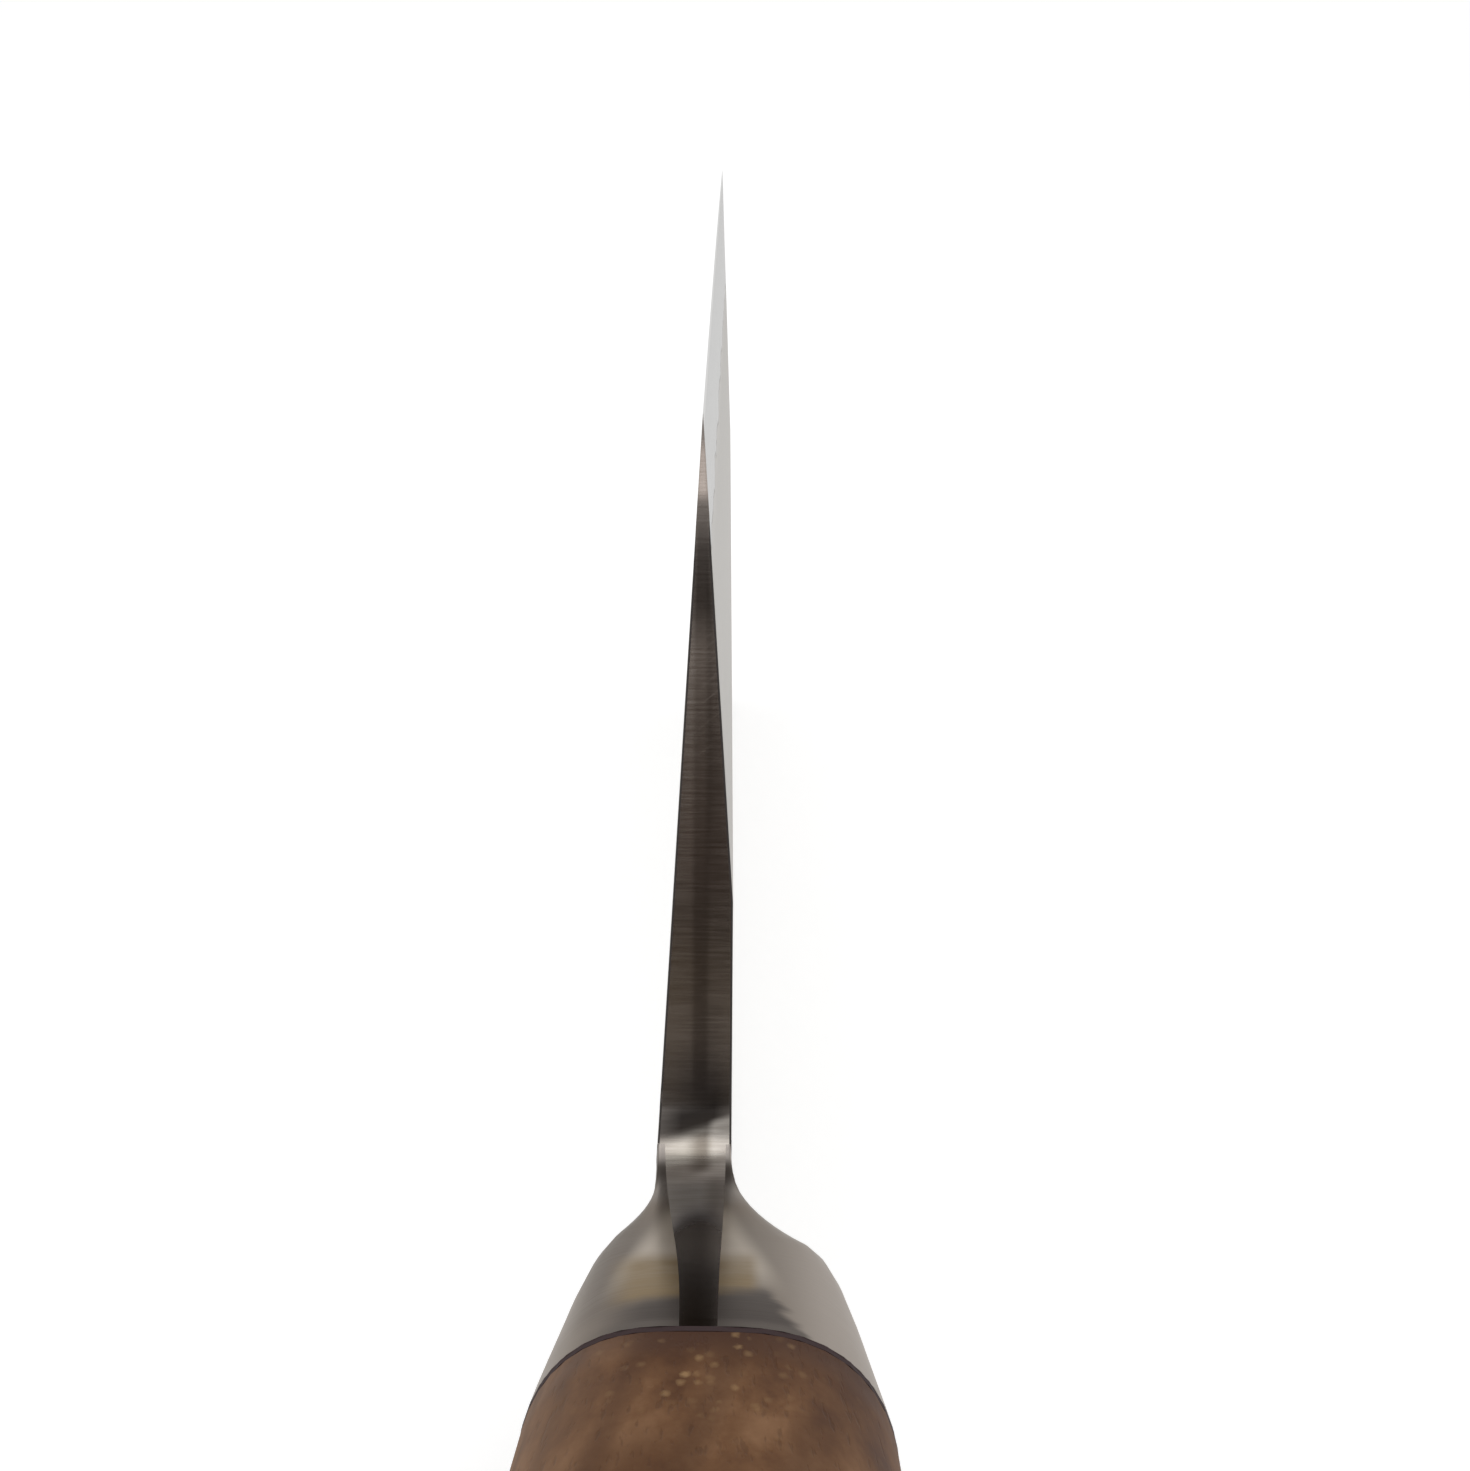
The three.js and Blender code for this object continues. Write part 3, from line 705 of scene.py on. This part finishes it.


# Steel ground across on a worn belt: hairlines from side to side over painted tones
heel_steel, tree, shader, where, hairs = ground_steel(
    "cross-ground steel", (3, 0.14, 0.14), "#b4b0ac", "#ffffff", (0.18, 0.3)
)
across, along, up = add(tree, "ShaderNodeSeparateXYZ", {0: where}).outputs
aside = add(tree, "ShaderNodeMath", {0: across}, operation="ABSOLUTE").outputs[0]
path = add(tree, "ShaderNodeMath", {0: along, 1: up}, operation="ADD").outputs[0]
# Tilts the profile across the round, so that the painted highlight there lies askew
lean = patch(tree, across, (path, ROUND_TOP + ROUND_FADE, ROUND_TOP))
path = add(tree, "ShaderNodeMath", {0: lean, 1: -HIGHLIGHT_TILT, 2: path}, operation="MULTIPLY_ADD").outputs[0]
lag = patch(tree, aside, aside)
lag = add(tree, "ShaderNodeMath", {0: lag, 1: STRIP_LAG / MM}, operation="MULTIPLY").outputs[0]
lag = add(tree, "ShaderNodeMath", {0: lag, 1: LONGEST_LAG * MM}, operation="MINIMUM").outputs[0]
lag = patch(tree, lag, (path, ROUND_TOP - LAG_FADE[0], ROUND_TOP - LAG_FADE[1]))
path = add(tree, "ShaderNodeMath", {0: path, 1: lag}, operation="ADD").outputs[0]
print("profile from the edge to the tang")

# %% [markdown]
# ## Painted tones along the profile
# The tone changes along the profile, and one colour ramp paints all of it, much of it as painted light. From the tang
# upwards: black between the cheeks, a painted dark reflection, then painted reflections that grow paler towards the
# neck, a painted highlight lower in the round of the choil, a painted dark reflection at the top of the round, the
# grey of the heel, matched partly to what it reflects, a higher painted dark reflection, and a painted pale patch near
# the edge. Places are in mm from the top of the round.

# %% Painted tones along the profile
PROFILE = (-31.0, 37.0)
# Painted light throughout: a dark reflection on the tang, light and dark in the round, and two patches on the heel
DARK_STRIP_REFLECTION = [(-30.0, "#1e1e1f"), (-26.0, "#3d3d3f"), (-22.0, "#5c5c5f"), (-16.5, "#7c7b7e"), (-12.4, "#858386")]
NECK = [(-10.7, "#989391"), (-9.3, "#a5a09b"), (-7.2, "#a8a29d"), (-6.4, "#a39d97"), (-5.4, "#857f79")]
ROUND = [(-4.3, "#98938b"), (-3.2, "#a5a099"), (-2.2, "#393431"), (-1.2, "#393533")]
EVEN_GREY = [(-0.2, "#645f5c"), (3.0, "#877f79"), (12.0, "#8a837d"), (20.0, "#938d87"), (24.0, "#a7a19b")]
DARK_REFLECTION_PATCH = [(26.5, "#625d59"), (29.4, "#625d5a"), (31.8, "#8e8883")]
PAINTED_PALE_PATCH = [(32.5, "#e2d7cf"), (34.3, "#d2c7c0"), (35.3, "#948e8a")]

ends = {"From Min": (ROUND_TOP + PROFILE[0]) * MM, "From Max": (ROUND_TOP + PROFILE[1]) * MM}
share = add(tree, "ShaderNodeMapRange", {"Value": path, **ends}).outputs[0]
painted_profile_tones = DARK_STRIP_REFLECTION + NECK + ROUND + EVEN_GREY + DARK_REFLECTION_PATCH + PAINTED_PALE_PATCH
stops = [((place - PROFILE[0]) / (PROFILE[1] - PROFILE[0]), shade) for place, shade in painted_profile_tones]
colour = add(tree, "ShaderNodeValToRGB", {0: share}, stops=stops).outputs[0]
print("wear:", len(stops), "stops along the profile")

# %% [markdown]
# ## Darker and paler patches and scuffs on the heel
# The heel is darker over the core and over the upper half of the right plate, and paler towards its outer corners.
# In the middle of the round and on the right of the neck the darker patches are painted shade, and a painted highlight
# sits to the right of the round. The wedge of the blade gives how far out a point is, from the middle to the face.
# Scuffs run askew across the upper part, from a knife being pushed into a block.

# %% Darker and paler patches and scuffs on the heel
EDGE_HALF = 0.02
PALE_OUTER_FROM = 0.45
PALE_OUTER = 0.4
SCUFF_SLANT = math.radians(-40)
SCUFF_SIZE = (2.5, 1, 0.12)
SCUFFED = 0.35


def share_of_half(tree, across, up, side, wedge):
    """How far out a point of the heel is, from 0 in the middle to 1 on one side's face."""
    heel_half, _, grind = wedge
    heights = {"From Min": (HEEL_HEIGHT - grind) * MM, "From Max": HEEL_HEIGHT * MM}
    halves = {"To Min": side * heel_half * MM, "To Max": side * EDGE_HALF * MM}
    half = add(tree, "ShaderNodeMapRange", {"Value": up, **heights, **halves}).outputs[0]
    return add(tree, "ShaderNodeMath", {0: across, 1: half}, operation="DIVIDE").outputs[0]


below_tip = (up, 49.0, 45.0)
darker_patches = [
    # Darker over the core and the upper half of the right plate; painted shade in the middle of the round
    # and on the right of the neck
    (patch(tree, (aside, 0.6, 0.2), (up, 16.0, 19.0), below_tip), "#d2cfcd"),
    (patch(tree, (across, 0.1, 0.5), (up, 22.0, 36.0), below_tip), "#b9b6b4"),
    (patch(tree, (across, -0.9, 0.1), (across, 0.9, 0.2), (path, 15.0, 14.4), (path, 11.0, 12.0)), "#c4c0bd"),
    (patch(tree, (across, 0.0, 0.9), (path, 11.5, 10.0), (path, 4.5, 6.5)), "#d6d3d1"),
]
for mask, darker_tone in darker_patches:
    darker = {0: mask, 6: colour, 7: linear(darker_tone)}
    colour = add(tree, "ShaderNodeMix", darker, data_type="RGBA", blend_type="MULTIPLY").outputs[2]

# A painted highlight: a second bright spot to the right of the round
highlight_spot = patch(tree, (across, 0.3, 0.9), (path, 15.6, 14.9), (path, 12.2, 13.2))
left_share = share_of_half(tree, across, up, -1, LEFT_WEDGE)
right_share = share_of_half(tree, across, up, 1, RIGHT_WEDGE)
outer = add(tree, "ShaderNodeMath", {0: left_share, 1: right_share}, operation="MAXIMUM").outputs[0]
pale_outer = add(tree, "ShaderNodeMapRange", {"Value": outer, "From Min": PALE_OUTER_FROM, "To Max": PALE_OUTER}).outputs[0]
slant = {"Vector": where, "Rotation": (0, SCUFF_SLANT, 0), "Scale": [size * MM for size in SCUFF_SIZE]}
slant = add(tree, "ShaderNodeMapping", slant, vector_type="TEXTURE").outputs[0]
scuffs = add(tree, "ShaderNodeTexNoise", {"Vector": slant, "Scale": 1.0, "Detail": 2.0}).outputs[0]
scuffs = {"Value": scuffs, "From Min": 0.55, "From Max": 0.7, "To Max": SCUFFED}
scuffs = add(tree, "ShaderNodeMapRange", scuffs).outputs[0]
scuffs = patch(tree, scuffs, (up, 34.0, 37.0), (up, 44.0, 41.5))
for mask, bright in ((highlight_spot, "#a8a39d"), (pale_outer, "#8d8782"), (scuffs, "#a39d99")):
    colour = add(tree, "ShaderNodeMix", {0: mask, 6: colour, 7: linear(bright)}, data_type="RGBA").outputs[2]
print("heel:", len(darker_patches), "stains, a bright spot, rubbed corners and scuffs")

# %% [markdown]
# ## Finish of the heel
# The hairlines go over the painted tones, so that a painted patch still looks ground. The neck was only rough ground,
# so it gathers more light than the smooth round in front of it.

# %% Finish of the heel
NECK_ROUGHER = 0.25

ground = add(tree, "ShaderNodeMix", {0: 1.0, 6: colour, 7: hairs}, data_type="RGBA", blend_type="MULTIPLY").outputs[2]
neck = patch(tree, (path, 13.2, 10.6), (path, 3.4, 7.6))
rough = shader.inputs["Roughness"].links[0].from_socket
rough = add(tree, "ShaderNodeMath", {0: neck, 1: NECK_ROUGHER, 2: rough}, operation="MULTIPLY_ADD").outputs[0]
tree.links.new(ground, shader.inputs["Base Color"])
tree.links.new(rough, shader.inputs["Roughness"])
shader.inputs["Specular Tint"].default_value = linear("#c4bfbb")
print("heel steel")

# %% [markdown]
# ## Where each steel goes
# A face is told by where it looks and where it is. A bevel leans a little up towards the edge while a flat doesn't,
# the heel looks back, and the eased corners look askew. Every layer gets the same five slots.

# %% Steel on the blade layers
FLAT, BEVEL, SPINE, HEEL, CORNER = range(5)
BEVEL_LEAN = 0.015
HEEL_LEAN = 0.12
SIDEWAYS = 0.9
FULLY_SIDEWAYS = 0.95


def zone_of(face):
    """The slot that a face of the blade belongs to."""
    middle, look = face.calc_center_median(), face.normal
    if middle.y < SHOULDER_Y:
        return HEEL
    if middle.y < EASED / 2 and middle.z > SPINE_ROOM and abs(look.x) < FULLY_SIDEWAYS:
        return HEEL if abs(look.x) < HEEL_LEAN else CORNER
    if abs(look.x) < SIDEWAYS:
        return SPINE
    return BEVEL if look.z > BEVEL_LEAN else FLAT


for layer, bevel in ((edge_core, core_steel), (left_plate, left_bevel), (right_plate, right_bevel)):
    for finish in (flat_steel, bevel, spine_steel, heel_steel, dark_outline_steel):
        layer.data.materials.append(finish)
    edit(layer)
    counts = []
    for zone in (FLAT, BEVEL, SPINE, HEEL, CORNER):
        counts.append(pick("FACE", lambda face: zone_of(face) == zone))
        layer.active_material_index = zone
        bpy.ops.object.material_slot_assign()
    close()
    print(f"{layer.name}: faces per zone {counts}")

# %% [markdown]
# ## Bolster steel
# The bolster is polished around, so its hairlines are rings. It was brazed to the tang. Its tints are painted light:
# painted tones by the neck, a warm straw patch that is a painted reflection of the wood, and a blue-grey band next to
# the handle that is a painted dark reflection. The bright sides and a bright wedge that widens along the tang are
# painted highlights. The edge of a tint is never straight, so a noise pushes it about by a millimetre. Each tint is
# one soft patch.

# %% Edges of the painted tints
BLOTCH_SIZE = (3, 1.2, 3)
DRIFT = 0.8 * MM
RIGHT_SLANT = 0.25
FRONT_SLANT = -0.35
WEDGE_SLANT = 0.153

# Mild steel, polished by hand after brazing: grey with a painted warm reflection of the wood, ring hairlines, tints
bolster_steel, tree, shader, where, colour = ground_steel(
    "polished bolster steel", (6, 0.13, 6), "#756c64", "#8c837a", (0.26, 0.4), 0.008
)
across, along, up = add(tree, "ShaderNodeSeparateXYZ", {0: where}).outputs
aside = add(tree, "ShaderNodeMath", {0: across}, operation="ABSOLUTE").outputs[0]
blotch = {"Vector": where, "Scale": [size * MM for size in BLOTCH_SIZE]}
blotch = add(tree, "ShaderNodeMapping", blotch, vector_type="TEXTURE").outputs[0]
blotch = add(tree, "ShaderNodeTexNoise", {"Vector": blotch, "Scale": 1.0, "Detail": 3.0}).outputs[0]
patchy = {"Value": blotch, "From Min": 0.35, "From Max": 0.6, "To Min": 0.8}
patchy = add(tree, "ShaderNodeMapRange", patchy).outputs[0]
drift = add(tree, "ShaderNodeMapRange", {"Value": blotch, "To Min": -DRIFT, "To Max": DRIFT}).outputs[0]
right_edge = add(tree, "ShaderNodeMath", {0: along, 1: RIGHT_SLANT, 2: across}, operation="MULTIPLY_ADD").outputs[0]
right_edge = add(tree, "ShaderNodeMath", {0: right_edge, 1: drift}, operation="ADD").outputs[0]
front_edge = add(tree, "ShaderNodeMath", {0: across, 1: FRONT_SLANT, 2: along}, operation="MULTIPLY_ADD").outputs[0]
front_edge = add(tree, "ShaderNodeMath", {0: front_edge, 1: drift}, operation="ADD").outputs[0]
widening = add(tree, "ShaderNodeMath", {0: along, 1: WEDGE_SLANT, 2: aside}, operation="MULTIPLY_ADD").outputs[0]
print("edges of the painted tints, moved by up to", DRIFT / MM, "mm")

# %% [markdown]
# ## Tints of the bolster
# The painted tints are laid one over the other, from the sides inwards and then from the handle to the neck.

# %% Tints of the bolster
# The masks of a painted dark reflection by the handle and of a straw painted reflection of the wood
dark_reflection_band = patch(tree, (right_edge, -2.3, -3.2), (across, -5.4, -1.8))
wood_reflection_straw = patch(tree, (across, 3.3, 2.5), (across, -4.4, -2.6), patchy)
near_edge = (up, 9.0, 12.0)
tints = [
    # Painted highlights on the right and left sides, and a painted darker strip beside the left one
    (patch(tree, (across, 3.2, 6.4)), "#a39b94"),
    (patch(tree, (across, -4.6, -6.6)), "#988f87"),
    (patch(tree, (across, -2.2, -3.4), (across, -6.0, -4.4), (along, -29.0, -26.0)), "#6b635c"),
    # Painted highlight along the tang, a straw painted reflection of wood, a painted dark band and its paler rim
    (patch(tree, (widening, 1.0, -0.3), (along, -5.0, -8.5), (along, -26.0, -19.0)), "#bdb4a8"),
    (patch(tree, (along, -16.0, -20.0), (along, -28.0, -25.6), wood_reflection_straw), "#897657"),
    (patch(tree, (front_edge, -24.6, -27.2), dark_reflection_band), "#484443"),
    (patch(tree, (along, -29.2, -30.2), dark_reflection_band), "#5d5855"),
    # Painted tones by the neck: a lighter grey, then a dark band and a paler end on top
    (patch(tree, (along, -7.0, -4.5)), "#8f8984"),
    (patch(tree, (along, -4.4, -2.4), near_edge), "#48433f"),
    (patch(tree, (along, -2.2, -1.3), near_edge), "#847e79"),
]
for mask, tint in tints:
    colour = add(tree, "ShaderNodeMix", {0: mask, 6: colour, 7: linear(tint)}, data_type="RGBA").outputs[2]
tree.links.new(colour, shader.inputs["Base Color"])
shader.inputs["Specular Tint"].default_value = linear("#cdc9c5")
for piece in (left_cheek, right_cheek):
    piece.data.materials.clear()
    piece.data.materials.append(bolster_steel)
print("bolster steel:", len(tints), "tints")

# %% [markdown]
# ## Grain of the wood
# The handle is a close brown hardwood, oiled and not lacquered. The eye gets slow clouds of colour, growth rings that
# run as grain along the handle and as arcs on the butt, and short dark pores. All of it is solid texture, so the grain
# and the end grain fit together. The rings are circles round a pith that lies outside the block, as in a real board.

# %% Grain of the wood
CLOUD_SIZE = (3, 7, 3)
CLOUD_SHADES = [(0.3, "#4b2c14"), (0.5, "#69482d"), (0.7, "#826044")]
PITH = (-34, 0, -21)
RING_SPACING = 2.6
# At a scale of 1 the rings of a wave texture are this far apart
WAVE_PERIOD = 0.314
RING_STRETCH = 0.12
PORE_SIZE = (0.3, 2.6, 0.3)

# Walnut, sanded and oiled: warm brown, nearly matt, with open pores
wood, tree, shader, where = new_finish("oiled walnut")
cloud = {"Vector": where, "Scale": [size * MM for size in CLOUD_SIZE]}
cloud = add(tree, "ShaderNodeMapping", cloud, vector_type="TEXTURE").outputs[0]
cloud = {"Vector": cloud, "Scale": 1.0, "Detail": 5.0, "Roughness": 0.6}
cloud = add(tree, "ShaderNodeTexNoise", cloud).outputs[0]
colour = add(tree, "ShaderNodeValToRGB", {0: cloud}, stops=CLOUD_SHADES).outputs[0]

rings = {"Vector": where, "Location": [place * MM for place in PITH], "Scale": (MM, MM / RING_STRETCH, MM)}
rings = add(tree, "ShaderNodeMapping", rings, vector_type="TEXTURE").outputs[0]
rings = {"Vector": rings, "Scale": WAVE_PERIOD / RING_SPACING, "Distortion": 5.0, "Detail": 3.0, "Detail Scale": 0.25}
rings = add(tree, "ShaderNodeTexWave", rings, wave_type="RINGS", rings_direction="Y").outputs[1]
late_wood = add(tree, "ShaderNodeMapRange", {"Value": rings, "From Min": 0.55, "To Max": 0.4}).outputs[0]

pores = {"Vector": where, "Scale": [size * MM for size in PORE_SIZE]}
pores = add(tree, "ShaderNodeMapping", pores, vector_type="TEXTURE").outputs[0]
pores = add(tree, "ShaderNodeTexNoise", {"Vector": pores, "Scale": 1.0, "Detail": 2.0}).outputs[0]
pores = add(tree, "ShaderNodeMapRange", {"Value": pores, "From Min": 0.58, "From Max": 0.68}).outputs[0]
filled = add(tree, "ShaderNodeMapRange", {"Value": cloud, "To Min": 0.1, "To Max": 0.4}).outputs[0]
dark_pores = patch(tree, pores, filled)
print("grain with rings", RING_SPACING, "mm apart")

# %% [markdown]
# ## Flecks in the wood
# Pale flecks show where rays come to the surface, most of them near the bolster. They are the middles of ragged cells.
# Each cell has its own chance to show, and the chance falls with the distance from one place on the wood.

# %% Flecks in the wood
FLECK_SIZE = (0.75, 1.5, 0.75)
RAGGED_SIZE = (0.25, 0.5, 0.25)
RAGGED = 0.3
FLECK_PLACE = (0.6, -34.5, 18.0)
FLECK_REACH = (4.6, 7.5, 8.0)

ragged = {"Vector": where, "Scale": [size * MM for size in RAGGED_SIZE]}
ragged = add(tree, "ShaderNodeMapping", ragged, vector_type="TEXTURE").outputs[0]
ragged = add(tree, "ShaderNodeTexNoise", {"Vector": ragged, "Scale": 1.0}).outputs[1]
cells = {"Vector": where, "Scale": [size * MM for size in FLECK_SIZE]}
cells = add(tree, "ShaderNodeMapping", cells, vector_type="TEXTURE").outputs[0]
cells = {0: ragged, 1: [RAGGED] * 3, 2: cells}
cells = add(tree, "ShaderNodeVectorMath", cells, operation="MULTIPLY_ADD").outputs[0]
cells = add(tree, "ShaderNodeTexVoronoi", {"Vector": cells, "Scale": 1.0}).outputs
middles = add(tree, "ShaderNodeMapRange", {"Value": cells[0], "From Min": 0.36, "From Max": 0.12}).outputs[0]
chance = add(tree, "ShaderNodeSeparateColor", {0: cells[1]}).outputs[0]
chance = add(tree, "ShaderNodeMapRange", {"Value": chance, "From Min": 0.1, "To Max": 0.75}).outputs[0]
reach = [size * MM for size in FLECK_REACH]
crowd = {"Vector": where, "Location": [place * MM for place in FLECK_PLACE], "Scale": reach}
crowd = add(tree, "ShaderNodeMapping", crowd, vector_type="TEXTURE").outputs[0]
crowd = add(tree, "ShaderNodeVectorMath", {0: crowd}, operation="LENGTH").outputs["Value"]
crowd = {"Value": crowd, "From Min": 1.2, "From Max": 0.5, "To Min": 0.08}
crowd = add(tree, "ShaderNodeMapRange", crowd).outputs[0]
flecks = patch(tree, middles, chance, crowd)
print("flecks round", FLECK_PLACE, "mm")

# %% [markdown]
# ## Oiled wood
# A darker streak of heartwood runs back from behind the flecks. The rim by the bolster is darker, and the left side
# is lighter with painted light. The pores are a little sunk, and the clouds set how much oil the wood has taken up.

# %% Oiled wood
DARK_RIM = 0.9
PAINTED_LEFT_LIGHT = 0.3
DARK_STREAK = 0.45

across, along, _ = add(tree, "ShaderNodeSeparateXYZ", {0: where}).outputs
rim = patch(tree, (along, -38.5, -31.5), (across, -4.5, -1.0), (across, 10.0, 7.5))
rim = add(tree, "ShaderNodeMapRange", {"Value": rim, "To Max": DARK_RIM}).outputs[0]
painted_left_light = patch(tree, (across, -2.0, -8.0))
painted_left_light = add(tree, "ShaderNodeMapRange", {"Value": painted_left_light, "To Max": PAINTED_LEFT_LIGHT}).outputs[0]
streak = patch(tree, (across, -6.0, -3.0), (across, 0.8, -1.0), (along, -42.0, -46.0), (along, -70.0, -52.0))
streak = add(tree, "ShaderNodeMapRange", {"Value": streak, "To Max": DARK_STREAK}).outputs[0]
layers = [
    (late_wood, "#3d2312"),
    (dark_pores, "#2c170a"),
    (rim, "#3a1c05"),
    # Painted light on the left side
    (painted_left_light, "#8f735c"),
    (streak, "#46280f"),
    (flecks, "#9c7d57"),
]
for mask, shade in layers:
    colour = add(tree, "ShaderNodeMix", {0: mask, 6: colour, 7: linear(shade)}, data_type="RGBA").outputs[2]
rough = add(tree, "ShaderNodeMapRange", {"Value": cloud, "To Min": 0.5, "To Max": 0.68}).outputs[0]
height = add(tree, "ShaderNodeMath", {0: cloud, 1: pores}, operation="SUBTRACT").outputs[0]
relief = add(tree, "ShaderNodeBump", {"Strength": 0.4, "Distance": 0.04 * MM, "Height": height}).outputs[0]
shader.inputs["Specular IOR Level"].default_value = 0.05
tree.links.new(colour, shader.inputs["Base Color"])
tree.links.new(rough, shader.inputs["Roughness"])
tree.links.new(relief, shader.inputs["Normal"])
wood_handle.data.materials.clear()
wood_handle.data.materials.append(wood)
print("oiled wood:", len(layers), "layers of colour")

# %% [markdown]
# ## Spacer, pins and resin
# The shapes of these CAD nodes are already right, so they stay and only take a finish. The spacer is vulcanised fibre,
# pressed from paper: black with a hint of purple, matt, and finely felted. Pins and resin are hidden in a whole knife,
# but a part may be taken apart, so they get a turned steel and a dark filled epoxy.

# %% Spacer, pins and resin
FELT_SIZE = 0.3
FILLER_SIZE = 0.8

# Paper fibre pressed hard: matt, nearly black, with a felted mottle
fibre, tree, shader, where = new_finish("black vulcanised fibre")
felt = {"Vector": where, "Scale": [FELT_SIZE * MM] * 3}
felt = add(tree, "ShaderNodeMapping", felt, vector_type="TEXTURE").outputs[0]
felt = add(tree, "ShaderNodeTexNoise", {"Vector": felt, "Scale": 1.0, "Detail": 2.0}).outputs[0]
tone = add(tree, "ShaderNodeMix", {0: felt, 6: linear("#2a1e20"), 7: linear("#3f2f2f")}, data_type="RGBA").outputs[2]
rough = add(tree, "ShaderNodeMapRange", {"Value": felt, "To Min": 0.55, "To Max": 0.8}).outputs[0]
shader.inputs["Specular IOR Level"].default_value = 0.1
tree.links.new(tone, shader.inputs["Base Color"])
tree.links.new(rough, shader.inputs["Roughness"])

# Epoxy filled with wood dust: dark, glossy, with soft brown clouds
resin, tree, shader, where = new_finish("dark filled epoxy")
filler = {"Vector": where, "Scale": [FILLER_SIZE * MM] * 3}
filler = add(tree, "ShaderNodeMapping", filler, vector_type="TEXTURE").outputs[0]
filler = add(tree, "ShaderNodeTexNoise", {"Vector": filler, "Scale": 1.0, "Detail": 3.0}).outputs[0]
tone = add(tree, "ShaderNodeMix", {0: filler, 6: linear("#1d1814"), 7: linear("#463a2e")}, data_type="RGBA").outputs[2]
shader.inputs["Roughness"].default_value = 0.3
tree.links.new(tone, shader.inputs["Base Color"])

# Bar turned on a lathe: rings round the pin, a bright gleam
pin_steel, *_ = ground_steel("turned pin steel", (0.1, 3, 3), "#8e8c89", "#b9b7b3", (0.2, 0.35))

finishes = {"spacer": fibre, "tang_bedding": resin, "bolster_pin_front": pin_steel, "bolster_pin_rear": pin_steel}
for node, finish in finishes.items():
    slots = frame["nodes"][node].data.materials
    slots.clear()
    slots.append(finish)
print("finishes on", ", ".join(finishes))
